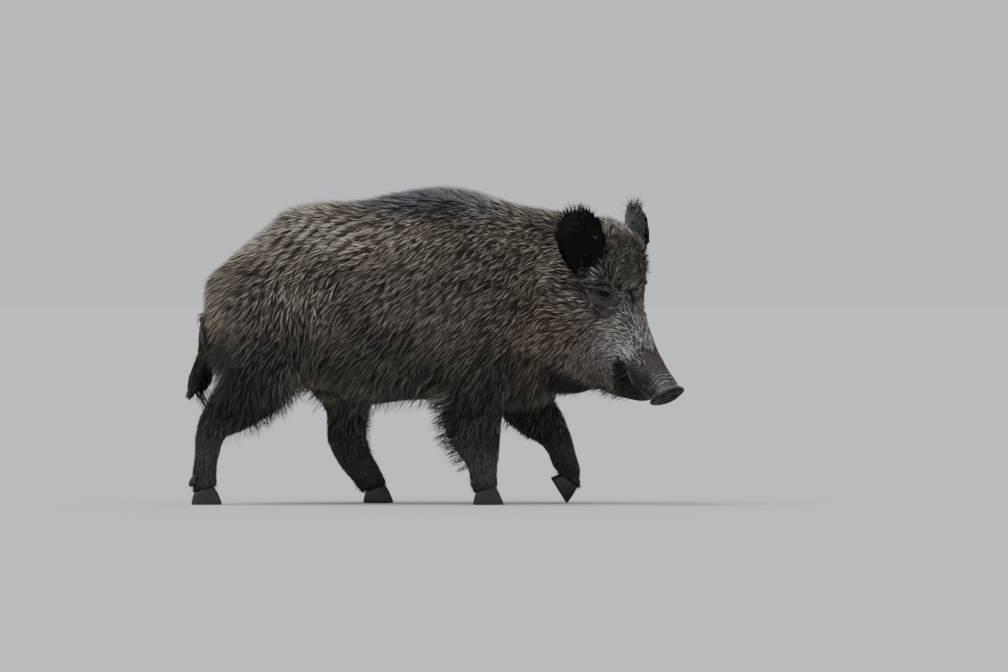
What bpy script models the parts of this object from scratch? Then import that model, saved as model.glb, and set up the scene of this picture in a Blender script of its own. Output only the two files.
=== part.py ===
"""Wild boar sow (Sus scrofa) in mid-walk, at life size, modelled out to the tips of its coat.

Metres, +Z up. +X is the way the boar walks, -Y is its right-hand side, and the hooves stand at Z = 0.
The flesh is built as one hide from lofted sections, then parted by thin cuts into head, snout, neck,
trunk, tail and the joints of each leg. Ears, eyes, hooves and dewclaws are solids of their own.
"""

import math
from typing import NamedTuple

import bmesh
import bpy
import numpy as np
from mathutils import Matrix, Vector

# Driving sizes.
WITHERS_HEIGHT = 0.697  # top of the mane over the shoulders
FOOT_TRACK = 0.085  # each foot's distance from the midline
CUT_GAP = 0.0004  # width of the cuts that part the flesh
BALL_SEGMENTS = 12
BALL_RINGS = 7

# The head's carriage: lowered, and turned to the boar's right.
SNOUT_TIP = Vector((0.489, -0.185, 0.243))
HEAD_YAW = math.radians(-43)
HEAD_PITCH = math.radians(44)
HEAD_ROLL = math.radians(5)

SIDES = (("right", -1.0), ("left", 1.0))
LEFTWARD = Vector((0, 1, 0))
DOWNWARD = Vector((0, 0, -1))

# Mesh density of the hide.
VOXEL = 0.0085
HIDE_TRIANGLES = 3700


class Section(NamedTuple):
    """A cross-section of the trunk or neck, upright at x."""

    x: float
    top: float
    bottom: float
    half_width: float
    y: float = 0.0


class HeadSection(NamedTuple):
    """A cross-section of the head, a distance behind the snout's face."""

    behind: float
    half_width: float
    top: float
    bottom: float


class Joint(NamedTuple):
    """A cross-section of a leg, level with one point on its bones."""

    x: float
    z: float
    front: float  # from the bone to the front outline
    back: float  # from the bone to the back outline
    half_width: float
    side: float = FOOT_TRACK  # distance of the bone from the midline


TORSO = (
    Section(-0.518, 0.462, 0.392, 0.026),
    Section(-0.513, 0.488, 0.362, 0.058),
    Section(-0.498, 0.511, 0.330, 0.088),
    Section(-0.460, 0.546, 0.290, 0.118),
    Section(-0.400, 0.597, 0.264, 0.142),
    Section(-0.330, 0.652, 0.256, 0.151),
    Section(-0.250, 0.667, 0.245, 0.152),
    Section(-0.170, 0.671, 0.214, 0.158),
    Section(-0.080, 0.688, 0.222, 0.163),
    Section(0.010, WITHERS_HEIGHT, 0.226, 0.163),
    Section(0.100, 0.684, 0.228, 0.158),
    Section(0.180, 0.661, 0.230, 0.148),
    Section(0.250, 0.650, 0.238, 0.122, -0.004),
    Section(0.320, 0.640, 0.242, 0.098, -0.014),
    Section(0.370, 0.600, 0.285, 0.055, -0.028),
)

HEAD = (
    HeadSection(0.018, 0.034, 0.032, 0.046),
    HeadSection(0.050, 0.037, 0.037, 0.076),
    HeadSection(0.085, 0.041, 0.044, 0.099),
    HeadSection(0.120, 0.047, 0.054, 0.122),
    HeadSection(0.160, 0.057, 0.066, 0.141),
    HeadSection(0.195, 0.070, 0.077, 0.152),
    HeadSection(0.220, 0.080, 0.093, 0.156),
    HeadSection(0.242, 0.087, 0.130, 0.157),
    HeadSection(0.265, 0.094, 0.161, 0.156),
    HeadSection(0.295, 0.100, 0.176, 0.150),
    HeadSection(0.330, 0.104, 0.179, 0.140),
    HeadSection(0.365, 0.102, 0.174, 0.126),
    HeadSection(0.400, 0.090, 0.156, 0.105),
    HeadSection(0.430, 0.060, 0.110, 0.075),
)

HEAD_LUMPS = (
    # behind the snout's face, out from the middle, up, and the radii those ways
    (0.250, 0.048, 0.080, (0.036, 0.028, 0.020)),  # brow
    (0.285, 0.072, -0.020, (0.070, 0.038, 0.065)),  # cheek
    (0.316, 0.068, 0.098, (0.030, 0.022, 0.032)),  # root of the ear
)

LEGS = {
    "fore_right": (
        Joint(0.125, 0.430, 0.085, 0.100, 0.045, 0.110),
        Joint(0.100, 0.330, 0.085, 0.105, 0.052, 0.104),
        Joint(0.083, 0.265, 0.075, 0.085, 0.050, 0.098),
        Joint(0.085, 0.205, 0.062, 0.088, 0.040, 0.092),
        Joint(0.093, 0.155, 0.045, 0.080, 0.032),
        Joint(0.099, 0.105, 0.035, 0.060, 0.027),
        Joint(0.098, 0.068, 0.030, 0.038, 0.027),
        Joint(0.104, 0.015, 0.030, 0.033, 0.028),
    ),
    "fore_left": (
        Joint(0.135, 0.430, 0.085, 0.100, 0.045, 0.110),
        Joint(0.150, 0.330, 0.080, 0.095, 0.052, 0.104),
        Joint(0.170, 0.258, 0.076, 0.075, 0.048, 0.098),
        Joint(0.215, 0.205, 0.054, 0.070, 0.037, 0.092),
        Joint(0.255, 0.148, 0.034, 0.045, 0.031),
        Joint(0.268, 0.105, 0.032, 0.034, 0.028),
        Joint(0.275, 0.073, 0.032, 0.034, 0.028),
        Joint(0.286, 0.028, 0.026, 0.024, 0.027),
    ),
    "hind_right": (
        Joint(-0.375, 0.480, 0.105, 0.110, 0.045, 0.110),
        Joint(-0.365, 0.390, 0.110, 0.110, 0.055, 0.104),
        Joint(-0.385, 0.300, 0.100, 0.095, 0.054, 0.098),
        Joint(-0.440, 0.230, 0.075, 0.062, 0.044, 0.092),
        Joint(-0.495, 0.175, 0.048, 0.036, 0.033),
        Joint(-0.505, 0.120, 0.034, 0.031, 0.027),
        Joint(-0.510, 0.068, 0.030, 0.030, 0.027),
        Joint(-0.506, 0.015, 0.031, 0.032, 0.028),
    ),
    "hind_left": (
        Joint(-0.345, 0.480, 0.105, 0.110, 0.045, 0.110),
        Joint(-0.290, 0.390, 0.110, 0.110, 0.055, 0.104),
        Joint(-0.225, 0.300, 0.090, 0.090, 0.054, 0.098),
        Joint(-0.198, 0.220, 0.052, 0.062, 0.044, 0.092),
        Joint(-0.200, 0.150, 0.043, 0.054, 0.033),
        Joint(-0.178, 0.100, 0.034, 0.051, 0.027),
        Joint(-0.152, 0.058, 0.031, 0.042, 0.027),
        Joint(-0.136, 0.015, 0.031, 0.032, 0.028),
    ),
}


def side_of(leg):
    """-1 on the boar's right, +1 on its left."""
    return -1.0 if leg.endswith("right") else 1.0


def head_axes():
    """Unit vectors of the head: forward along the muzzle, to its left, and up through the crown."""
    turn = Matrix.Rotation(HEAD_YAW, 3, "Z") @ Matrix.Rotation(HEAD_PITCH, 3, "Y")
    turn = turn @ Matrix.Rotation(HEAD_ROLL, 3, "X")
    return turn.col[0], turn.col[1], turn.col[2]


def placed(origin, axes):
    """The matrix that carries x, y and z onto three vectors from an origin."""
    frame = Matrix(axes).transposed().to_4x4()
    frame.translation = origin
    return frame


def head_frame():
    """From the head's own axes, with the snout's face at x = 0, to the world."""
    return placed(SNOUT_TIP, head_axes())


def smooth_through(rows, steps):
    """Rows of numbers, with steps - 1 more between each two, on a Catmull-Rom curve through them all."""
    rows = np.array(rows, float)
    padded = np.vstack([2 * rows[0] - rows[1], rows, 2 * rows[-1] - rows[-2]])
    found = []
    for a, b, c, d in zip(padded, padded[1:], padded[2:], padded[3:]):
        for t in np.arange(steps) / steps:
            bend = (2 * a - 5 * b + 4 * c - d) * t**2 + (3 * b - a - 3 * c + d) * t**3
            found.append(0.5 * (2 * b + (c - a) * t + bend))
    found.append(rows[-1])
    return np.array(found)


def oval(count, ahead, top, back, bottom, power, low_power=None):
    """Points round a section as (across, up), from its half-sizes each way.

    A power of 2 is an ellipse, less is more pointed and more is squarer. The lower half may have its own.
    """
    points = []
    for turn in 2 * math.pi * np.arange(count) / count:
        across, up = math.cos(turn), math.sin(turn)
        shape = 2 / (power if up >= 0 else low_power or power)
        width = ahead if across >= 0 else back
        height = top if up >= 0 else bottom
        across = math.copysign(abs(across) ** shape, across)
        up = math.copysign(abs(up) ** shape, up)
        points.append((across * width, up * height))
    return points


def add_loft(bm, rings):
    """A closed skin over rings of equally many points, with a flat face at each end."""
    made = [[bm.verts.new(point) for point in ring] for ring in rings]
    count = len(made[0])
    for low, high in zip(made, made[1:]):
        for i in range(count):
            j = (i + 1) % count
            bm.faces.new((low[i], low[j], high[j], high[i]))
    bm.faces.new(made[0])
    bm.faces.new(made[-1])
    bmesh.ops.recalc_face_normals(bm, faces=bm.faces)


def add_lump(bm, centre, radii, axes):
    """A muscle or bone under the hide: an ellipsoid on three axes, fused with the lofts later."""
    place = placed(centre, [axis * radius for axis, radius in zip(axes, radii)])
    bmesh.ops.create_icosphere(bm, subdivisions=3, radius=1.0, matrix=place)


def mesh_object(name, bm):
    mesh = bpy.data.meshes.new(name)
    bm.to_mesh(mesh)
    bm.free()
    made = bpy.data.objects.new(name, mesh)
    bpy.context.scene.collection.objects.link(made)
    return made


def as_evaluated(obj):
    """Bakes the object's modifiers into its mesh."""
    bpy.context.view_layer.update()
    graph = bpy.context.evaluated_depsgraph_get()
    mesh = bpy.data.meshes.new_from_object(obj.evaluated_get(graph))
    obj.modifiers.clear()
    obj.data = mesh
    return obj


def boolean(obj, other, operation):
    cut = obj.modifiers.new(operation.lower(), "BOOLEAN")
    cut.operation = operation
    cut.solver = "EXACT"
    cut.object = other
    as_evaluated(obj)


def cut_away(obj, cutter):
    boolean(obj, cutter, "DIFFERENCE")
    bpy.data.objects.remove(cutter)


def lofted(name, rings):
    bm = bmesh.new()
    add_loft(bm, rings)
    return mesh_object(name, bm)


def swept(middles, sections):
    """Rings of (fore, width) sections, each square to a path that stays in a plane across Y."""
    rings = []
    for i, section in enumerate(sections):
        along = middles[min(i + 1, len(middles) - 1)] - middles[max(i - 1, 0)]
        along.y = 0
        along.normalize()
        ahead = Vector((-along.z, 0, along.x))
        rings.append([middles[i] + ahead * fore + LEFTWARD * width for fore, width in section])
    return rings


# ---- The hide: trunk, neck, head and legs as one closed surface ----

BARREL_LEVEL = 0.44  # share of the trunk's height where it is widest
BODY_POINTS = 28  # round a section of the trunk or head
LEG_POINTS = 20


def torso_rings():
    rings = []
    for x, top, bottom, half_width, y in smooth_through(TORSO, 3):
        widest = bottom + BARREL_LEVEL * (top - bottom)
        section = oval(BODY_POINTS, half_width, top - widest, half_width, widest - bottom, 1.9, 2.25)
        rings.append([Vector((x, y + across, widest + up)) for across, up in section])
    return rings


def head_rings():
    frame = head_frame()
    rings = []
    for behind, half_width, top, bottom in smooth_through(HEAD, 3):
        section = oval(BODY_POINTS, half_width, top, half_width, bottom, 1.95, 2.3)
        rings.append([frame @ Vector((-behind, across, up)) for across, up in section])
    return rings


def leg_rings(leg):
    """Sections square to the leg's bones, deeper behind the bone where the leg has a fringe."""
    middles = []
    sections = []
    for x, z, front, back, half_width, side in smooth_through(LEGS[leg], 3):
        middles.append(Vector((x, side_of(leg) * side, z)))
        sections.append(oval(LEG_POINTS, front, half_width, back, half_width, 2.1))
    return swept(middles, sections)


def add_lumps(bm):
    """What rounds each side of the head."""
    for _, side in SIDES:
        for behind, out, up, radii in HEAD_LUMPS:
            centre = head_frame() @ Vector((-behind, side * out, up))
            add_lump(bm, centre, radii, head_axes())


def build_hide():
    bm = bmesh.new()
    add_loft(bm, torso_rings())
    add_loft(bm, head_rings())
    for leg in LEGS:
        add_loft(bm, leg_rings(leg))
    add_lumps(bm)
    hide = mesh_object("hide", bm)
    fuse = hide.modifiers.new("fuse", "REMESH")
    fuse.mode = "VOXEL"
    fuse.voxel_size = VOXEL
    ease = hide.modifiers.new("ease", "SMOOTH")
    ease.factor = 0.5
    ease.iterations = 8
    as_evaluated(hide)
    hide.data.calc_loop_triangles()
    thin = hide.modifiers.new("thin", "DECIMATE")
    thin.ratio = HIDE_TRIANGLES / len(hide.data.loop_triangles)
    thin.use_collapse_triangulate = True
    as_evaluated(hide)
    return hide


# ---- Pieces set into the hide ----

EYE_RADIUS = 0.0120
EYE_PROUD = 0.0025  # how far the eyeball stands out of the orbit's floor
EYE_PLACE = (0.227, 0.069, 0.076)  # behind the snout's face, out from the middle, up
ORBIT_DEPTH = 0.009  # of the bare hollow round an eye, below the tips of the fur
ORBIT_RADIUS = 0.034  # of the ball that hollows it
SEAT_GAP = 0.00035  # between a piece and the hide it sits in


def swollen(hide):
    """A copy of the hide a seat gap larger all round, to trim what sits against it."""
    copy = hide.copy()
    copy.data = hide.data.copy()
    bpy.context.scene.collection.objects.link(copy)
    for vertex in hide.data.vertices:
        copy.data.vertices[vertex.index].co = vertex.co + vertex.normal * SEAT_GAP
    return copy


def ball(name, place, radius):
    bm = bmesh.new()
    bmesh.ops.create_uvsphere(bm, u_segments=BALL_SEGMENTS, v_segments=BALL_RINGS, radius=radius, matrix=place)
    return mesh_object(name, bm)


def add_eyes(hide):
    """Each eyeball sits on the floor of a shallow hollow."""
    behind, out, up = EYE_PLACE
    seats = []
    for word, side in SIDES:
        near = head_frame() @ Vector((-behind, side * out, up))
        _, surface, normal, _ = hide.closest_point_on_mesh(near)
        seats.append((word, surface, normal))
    for word, surface, normal in seats:
        orbit = Matrix.Translation(surface + normal * (ORBIT_RADIUS - ORBIT_DEPTH))
        cut_away(hide, ball("orbit", orbit, ORBIT_RADIUS))
        centre = Matrix.Translation(surface - normal * (ORBIT_DEPTH + EYE_RADIUS - EYE_PROUD))
        ball("eye_" + word, centre, EYE_RADIUS)
        cut_away(hide, ball("socket", centre, EYE_RADIUS + SEAT_GAP))


# ---- Snout: the rolled disc with its two nostrils ----

DISC_TILT = math.radians(14)  # the disc faces further down than the muzzle points
DISC_AHEAD = 0.010  # from the snout's nominal face to the middle of the disc
SNOUT_ROOT = 0.030  # where the snout meets the muzzle
NOSTRIL_AHEAD = 0.0017  # place of a nostril from the middle of the disc
NOSTRIL_OUT = 0.0150
NOSTRIL_UP = 0.0043
NOSTRIL_RADII = (0.0130, 0.0065, 0.0085)
SNOUT_POINTS = 24
SNOUT = (
    # ahead of the root along the snout, half-width, top, bottom
    (0.000, 0.0325, 0.0325, 0.0400),
    (0.010, 0.0320, 0.0315, 0.0370),
    (0.022, 0.0325, 0.0310, 0.0340),
    (0.029, 0.0365, 0.0345, 0.0350),
    (0.034, 0.0385, 0.0365, 0.0360),
    (0.038, 0.0375, 0.0355, 0.0350),
    (0.040, 0.0330, 0.0310, 0.0310),
)


def snout_frame(ahead):
    """A section's place on the snout, which bends gently down to the tilt of its disc."""
    share = ahead / (SNOUT_ROOT + DISC_AHEAD)
    bend = Matrix.Rotation(DISC_TILT * share, 4, "Y")
    drop = 0.5 * DISC_TILT * share * ahead
    return head_frame() @ Matrix.Translation((ahead - SNOUT_ROOT, 0, -drop)) @ bend


def add_snout():
    rings = []
    for ahead, half_width, top, bottom in SNOUT:
        section = oval(SNOUT_POINTS, half_width, top, half_width, bottom, 2.2)
        rings.append([snout_frame(ahead) @ Vector((0, across, up)) for across, up in section])
    snout = lofted("snout", rings)
    face = snout_frame(SNOUT_ROOT + DISC_AHEAD)
    for _, side in SIDES:
        place = face @ Matrix.Translation((NOSTRIL_AHEAD, side * NOSTRIL_OUT, NOSTRIL_UP))
        cut_away(snout, ball("nostril", place @ Matrix.Diagonal((*NOSTRIL_RADII, 1)), 1.0))


# ---- Ears: cupped leaves, open forwards and outwards ----

EARS = {
    # root, tip, and the way the cup faces, as ahead, out and up from the middle of the snout's face
    "right": ((-0.308, 0.078, 0.100), (-0.388, 0.090, 0.179), (0.72, 0.69, 0.0)),
    "left": ((-0.332, 0.078, 0.087), (-0.396, 0.090, 0.173), (0.35, 0.94, 0.0)),
}
EAR_THICKNESS = 0.010
EAR = (
    # share of the length from root to tip, half-width, depth of the cup
    (-0.18, 0.026, 0.014),
    (0.00, 0.037, 0.018),
    (0.18, 0.047, 0.019),
    (0.36, 0.053, 0.017),
    (0.54, 0.054, 0.014),
    (0.70, 0.051, 0.011),
    (0.83, 0.044, 0.008),
    (0.93, 0.033, 0.005),
    (0.98, 0.022, 0.003),
    (1.00, 0.013, 0.001),
)


def ear_section(half_width, cup):
    """Points round a cupped sheet with rounded edges, as (across the ear, towards its opening)."""
    spread = np.linspace(-1, 1, 8)
    bow = cup * spread**2
    thick = 0.5 * EAR_THICKNESS * np.sqrt(np.clip(1.04 - spread**2, 0, 1))
    front = list(zip(spread * half_width, bow + thick))
    back = list(zip(spread[::-1] * half_width, (bow - thick)[::-1]))
    return front + back


def add_ear(word, side, mould):
    frame = head_frame()
    root, tip, facing = (Vector((ahead, side * out, up)) for ahead, out, up in EARS[word])
    root = frame @ root
    lean = frame @ tip - root
    facing = frame.to_3x3() @ facing
    facing -= lean * facing.dot(lean) / lean.length_squared
    facing.normalize()
    across = facing.cross(lean).normalized()
    rings = []
    for share, half_width, cup in EAR:
        middle = root + lean * share
        rings.append([middle + across * a + facing * b for a, b in ear_section(half_width, cup)])
    boolean(lofted("ear_" + word, rings), mould, "DIFFERENCE")


# ---- Tail: a thin dock with a flat bushy tassel ----

TASSEL_TOP = Vector((-0.520, 0, 0.318))
TAIL_POINTS = 12
TAIL = (
    # x, z, half-depth fore and aft, half-width
    (-0.492, 0.405, 0.014, 0.014),
    (-0.512, 0.382, 0.013, 0.014),
    (-0.514, 0.345, 0.011, 0.012),
    (-0.516, 0.315, 0.016, 0.013),
    (-0.519, 0.283, 0.023, 0.015),
    (-0.530, 0.257, 0.021, 0.012),
    (-0.543, 0.242, 0.012, 0.008),
    (-0.553, 0.232, 0.003, 0.003),
)


def add_tail(mould):
    middles = []
    sections = []
    for x, z, depth, half_width in smooth_through(TAIL, 2):
        middles.append(Vector((x, 0, z)))
        sections.append(oval(TAIL_POINTS, depth, half_width, depth, half_width, 2.0))
    tail = lofted("tail", swept(middles, sections))
    boolean(tail, mould, "DIFFERENCE")
    part_off(tail, "tail_tuft", TASSEL_TOP, DOWNWARD, 0.15, 0.1, 0.1)


# ---- Feet: two hooves and two dewclaws on each ----


class Foot(NamedTuple):
    x: float  # middle of the sole
    pitch: float  # how far the toes point down
    rise: float = 0.0  # of the middle of the sole above the floor
    heel: float = 0.0245  # from the middle of the sole back to the dewclaws


FEET = {
    "fore_right": Foot(0.1035, 0.0),
    "fore_left": Foot(0.2570, math.radians(58), 0.0277),
    "hind_right": Foot(-0.5075, 0.0),
    "hind_left": Foot(-0.1370, 0.0, heel=0.0295),
}
CORONET_HEIGHT = 0.034  # top of the hoof, over the middle of the sole
CORONET_SLOPE = math.radians(19)  # it falls towards the heel
HOOF = (
    # height as a share of the coronet's, front and back ends from the sole's middle, half-width
    (0.00, 0.0350, -0.0310, 0.0130),
    (0.12, 0.0345, -0.0320, 0.0135),
    (0.60, 0.0260, -0.0300, 0.0130),
    (1.00, 0.0170, -0.0265, 0.0118),
)
HOOF_OUT = 0.0145  # of each hoof's middle from the middle of the foot
HOOF_POINTS = 14
TOE_TAPER = 0.35  # how much narrower a hoof is at its toe
DEWCLAW_PLACE = (0.0160, 0.0550)  # out from the middle of the foot, and up from the sole
DEWCLAW_DROOP = math.radians(125)  # from pointing ahead, down and round to the back
DEWCLAW_POINTS = 8
DEWCLAW = (
    # along the claw, half-depth, half-width
    (-0.012, 0.0060, 0.0060),
    (0.000, 0.0090, 0.0075),
    (0.012, 0.0075, 0.0065),
    (0.019, 0.0030, 0.0030),
)


def foot_frame(leg):
    foot = FEET[leg]
    place = Matrix.Translation((foot.x, side_of(leg) * FOOT_TRACK, foot.rise))
    return place @ Matrix.Rotation(foot.pitch, 4, "Y")


def coronet_plane(leg):
    """A point on the top of the hooves, and the way down from it."""
    frame = foot_frame(leg)
    down = Vector((math.sin(CORONET_SLOPE), 0, -math.cos(CORONET_SLOPE)))
    return frame @ Vector((0, 0, CORONET_HEIGHT)), frame.to_3x3() @ down


def add_hoof(leg, word, side, floor):
    """One horn shoe: pointed in front, its top cut to the slope of the coronet, its sole flat."""
    frame = foot_frame(leg)
    rings = []
    for share, front, back, half_width in HOOF:
        middle = 0.25 * front + 0.75 * back
        ring = []
        for along, across in oval(HOOF_POINTS, front - middle, half_width, middle - back, half_width, 2.3):
            x = middle + along
            z = share * (CORONET_HEIGHT + x * math.tan(CORONET_SLOPE))
            narrow = 1 - TOE_TAPER * max(0.0, along / (front - middle)) ** 2
            ring.append(frame @ Vector((x, side * HOOF_OUT + across * narrow, z)))
        rings.append(ring)
    hoof = lofted("_".join(("hoof", leg, word)), rings)
    if FEET[leg].pitch:
        boolean(hoof, floor, "DIFFERENCE")


def add_dewclaw(leg, word, side, mould):
    frame = foot_frame(leg)
    out, z = DEWCLAW_PLACE
    place = frame @ Matrix.Translation((-FEET[leg].heel, side * out, z)) @ Matrix.Rotation(DEWCLAW_DROOP, 4, "Y")
    rings = []
    for along, depth, half_width in DEWCLAW:
        section = oval(DEWCLAW_POINTS, depth, half_width, depth, half_width, 2.0)
        rings.append([place @ Vector((along, across, up)) for up, across in section])
    boolean(lofted("_".join(("dewclaw", leg, word)), rings), mould, "DIFFERENCE")


def add_feet(mould):
    floor = slab(Vector(), DOWNWARD, 0.1, 1.0, 1.0)
    for leg in LEGS:
        for word, side in (("inner", -side_of(leg)), ("outer", side_of(leg))):
            add_hoof(leg, word, side, floor)
            add_dewclaw(leg, word, side, mould)
    bpy.data.objects.remove(floor)


# ---- Parting the hide ----

LEG_ROOT_OUT = 0.100  # middle of the cut between leg and trunk
LEG_ROOT_HEIGHT = 0.285
LEG_SLOPE = math.radians(47)  # it climbs outwards
HEAD_CUT = Vector((0.300, -0.020, 0.450))  # behind the ears and the jaw
HEAD_CUT_TURN = (math.radians(-40), math.radians(8))  # yaw and pitch
NECK_CUT = Vector((0.165, 0, 0.450))  # before the shoulders
NECK_CUT_TURN = (math.radians(-8), math.radians(-13))
LEG_CUTS = {
    # middle of the upper cut along the body, half its reach, height of the cut at the knee or hock
    "fore_right": (0.082, 0.095, 0.150),
    "fore_left": (0.212, 0.127, 0.150),
    "hind_right": (-0.430, 0.145, 0.190),
    "hind_left": (-0.203, 0.116, 0.170),
}


def slab(point, down, depth, half_across, half_along):
    """A box with the middle of its top face at the point, going down the given way, which isn't along Y."""
    across = (LEFTWARD - down * down.y).normalized()
    along = across.cross(down)
    place = placed(point + down * depth / 2, (along * half_along, across * half_across, down * depth / 2))
    bm = bmesh.new()
    bmesh.ops.create_cube(bm, size=2.0, matrix=place)
    bmesh.ops.recalc_face_normals(bm, faces=bm.faces)
    return mesh_object("slab", bm)


def part_off(obj, name, point, down, depth, half_across, half_along):
    """Cuts off what lies beyond a plane as a new object, and leaves a thin gap."""
    piece = obj.copy()
    piece.data = obj.data.copy()
    piece.name = name
    bpy.context.scene.collection.objects.link(piece)
    inside = slab(point, down, depth, half_across, half_along)
    boolean(piece, inside, "INTERSECT")
    bpy.data.objects.remove(inside)
    half_across += CUT_GAP
    half_along += CUT_GAP
    cut_away(obj, slab(point - down * CUT_GAP, down, depth + 2 * CUT_GAP, half_across, half_along))
    return piece


def part_legs(hide):
    for leg, (middle, reach, joint_height) in LEG_CUTS.items():
        side = side_of(leg)
        top = Vector((middle, side * LEG_ROOT_OUT, LEG_ROOT_HEIGHT))
        down = Vector((0, side * math.sin(LEG_SLOPE), -math.cos(LEG_SLOPE)))
        upper = part_off(hide, leg + "_upper", top, down, 0.45, 0.25, reach)
        knee = Vector((middle, side * FOOT_TRACK, joint_height))
        lower = part_off(upper, leg + "_lower", knee, DOWNWARD, 0.2, 0.1, 0.25)
        coronet, down = coronet_plane(leg)
        cut_away(lower, slab(coronet - down * CUT_GAP, down, 0.1, 0.1, 0.1))


def forward(yaw, pitch):
    """Straight ahead, turned to the left by the yaw and down by the pitch."""
    return (Matrix.Rotation(yaw, 3, "Z") @ Matrix.Rotation(pitch, 3, "Y")).col[0]


def part_head_and_neck(hide):
    head = part_off(hide, "head", HEAD_CUT, forward(*HEAD_CUT_TURN), 0.5, 0.4, 0.4)
    muzzle_end = head_frame() @ Vector((-SNOUT_ROOT - CUT_GAP, 0, 0))
    cut_away(head, slab(muzzle_end, head_axes()[0], 0.1, 0.1, 0.1))
    part_off(hide, "neck", NECK_CUT, forward(*NECK_CUT_TURN), 0.5, 0.5, 0.5)


# ---- Materials ----


class Finish(NamedTuple):
    colour: tuple
    roughness: float


FINISHES = {
    "coat": Finish((0.115, 0.098, 0.078, 1), 0.85),
    "dark_coat": Finish((0.022, 0.019, 0.017, 1), 0.85),
    "nose": Finish((0.070, 0.048, 0.042, 1), 0.55),
    "eye": Finish((0.012, 0.008, 0.006, 1), 0.08),
    "horn": Finish((0.020, 0.017, 0.015, 1), 0.50),
}
FINISH_OF = (
    # the first start of a node's name that fits
    ("eye_", "eye"),
    ("hoof_", "horn"),
    ("dewclaw_", "horn"),
    ("snout", "nose"),
    ("ear_", "dark_coat"),
    ("tail", "dark_coat"),
    ("fore_", "dark_coat"),
    ("hind_", "dark_coat"),
    ("", "coat"),
)


def make_materials():
    made = {}
    for name, finish in FINISHES.items():
        material = bpy.data.materials.new(name)
        material.use_nodes = True
        shader = material.node_tree.nodes["Principled BSDF"]
        shader.inputs["Base Color"].default_value = finish.colour
        shader.inputs["Roughness"].default_value = finish.roughness
        made[name] = material
    return made


def extent(pieces):
    """The middle of the pieces' box, and its lowest level."""
    points = np.array([vertex.co[:] for piece in pieces for vertex in piece.data.vertices])
    low, high = points.min(axis=0), points.max(axis=0)
    return Vector((low + high) / 2), low[2]


def finish_off(materials):
    """Hangs every piece on one empty, under the middle of the boar's box, and gives each its material."""
    pieces = list(bpy.data.objects)
    middle, floor_level = extent(pieces)
    under = Vector((middle.x, middle.y, floor_level))
    boar = bpy.data.objects.new("wild_boar", None)
    bpy.context.scene.collection.objects.link(boar)
    for piece in pieces:
        own_middle, _ = extent([piece])
        piece.data.transform(Matrix.Translation(-own_middle))
        piece.location = own_middle - under
        piece.parent = boar
        finish = next(finish for start, finish in FINISH_OF if piece.name.startswith(start))
        piece.data.materials.clear()
        piece.data.materials.append(materials[finish])
        piece.data.shade_smooth()


def main():
    for obj in list(bpy.data.objects):
        bpy.data.objects.remove(obj)
    hide = build_hide()
    mould = swollen(hide)
    add_eyes(hide)
    add_tail(mould)
    add_feet(mould)
    for word, side in SIDES:
        add_ear(word, side, mould)
    bpy.data.objects.remove(mould)
    add_snout()
    part_legs(hide)
    part_head_and_neck(hide)
    hide.name = "trunk"
    finish_off(make_materials())


main()
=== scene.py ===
"""Looks of the wild boar sow: one skin under a coat of solid tufts, wet eyes and horn hooves.

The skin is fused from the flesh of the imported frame, drawn in by the depth of the coat and given the
folds of the face. The coat is mesh: each tuft follows the skin from its root, along the lie of the hair.
Skin and coat take their colours from the same functions of place.
"""

import math
from collections import namedtuple
from contextlib import contextmanager
from typing import NamedTuple

import bmesh
import bpy
import numpy as np
from mathutils import Matrix, Vector
from mathutils.bvhtree import BVHTree
from mathutils.kdtree import KDTree


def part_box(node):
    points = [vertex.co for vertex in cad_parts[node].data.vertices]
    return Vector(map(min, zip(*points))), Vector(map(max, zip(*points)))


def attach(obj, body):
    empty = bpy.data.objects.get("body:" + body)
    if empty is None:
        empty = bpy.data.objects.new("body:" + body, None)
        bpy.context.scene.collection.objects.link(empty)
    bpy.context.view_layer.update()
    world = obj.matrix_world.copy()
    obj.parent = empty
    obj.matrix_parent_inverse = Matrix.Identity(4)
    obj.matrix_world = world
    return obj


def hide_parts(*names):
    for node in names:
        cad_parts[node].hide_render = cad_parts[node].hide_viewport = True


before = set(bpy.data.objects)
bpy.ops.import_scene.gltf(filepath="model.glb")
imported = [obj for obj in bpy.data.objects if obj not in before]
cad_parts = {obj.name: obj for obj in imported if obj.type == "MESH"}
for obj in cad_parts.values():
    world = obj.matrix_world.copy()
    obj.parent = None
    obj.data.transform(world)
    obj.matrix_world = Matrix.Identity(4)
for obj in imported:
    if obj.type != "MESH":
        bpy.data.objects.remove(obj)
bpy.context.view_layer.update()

SIDES = (("right", -1.0), ("left", 1.0))
LEGS = ("fore_right", "fore_left", "hind_right", "hind_left")
HORN = ("hoof_", "dewclaw_")
EYES = ("eye_right", "eye_left")
SEED = 8
TURN = 2 * math.pi


def middle_of(node):
    low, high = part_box(node)
    return (low + high) / 2


# ---- Places in the frame ----

MIDLINE = middle_of("tail_tuft").y
RUMP_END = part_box("trunk")[0].x
BARREL_LEVEL = 0.44  # of the trunk's long axis
EYE_RADIUS = (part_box("eye_right")[1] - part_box("eye_right")[0]).z / 2

# The head's carriage: lowered, and turned to the boar's right.
HEAD_YAW = math.radians(-43)
HEAD_PITCH = math.radians(44)
HEAD_ROLL = math.radians(5)
HEAD_TURN = Matrix.Rotation(HEAD_YAW, 3, "Z") @ Matrix.Rotation(HEAD_PITCH, 3, "Y")
HEAD_TURN = HEAD_TURN @ Matrix.Rotation(HEAD_ROLL, 3, "X")
EYE_MIDDLE = (-0.2397, -0.0011, 0.0742)  # between the eyes, from the snout's face: ahead, left, up
EYE_LEVEL = (middle_of("eye_right") + middle_of("eye_left")) / 2

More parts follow.
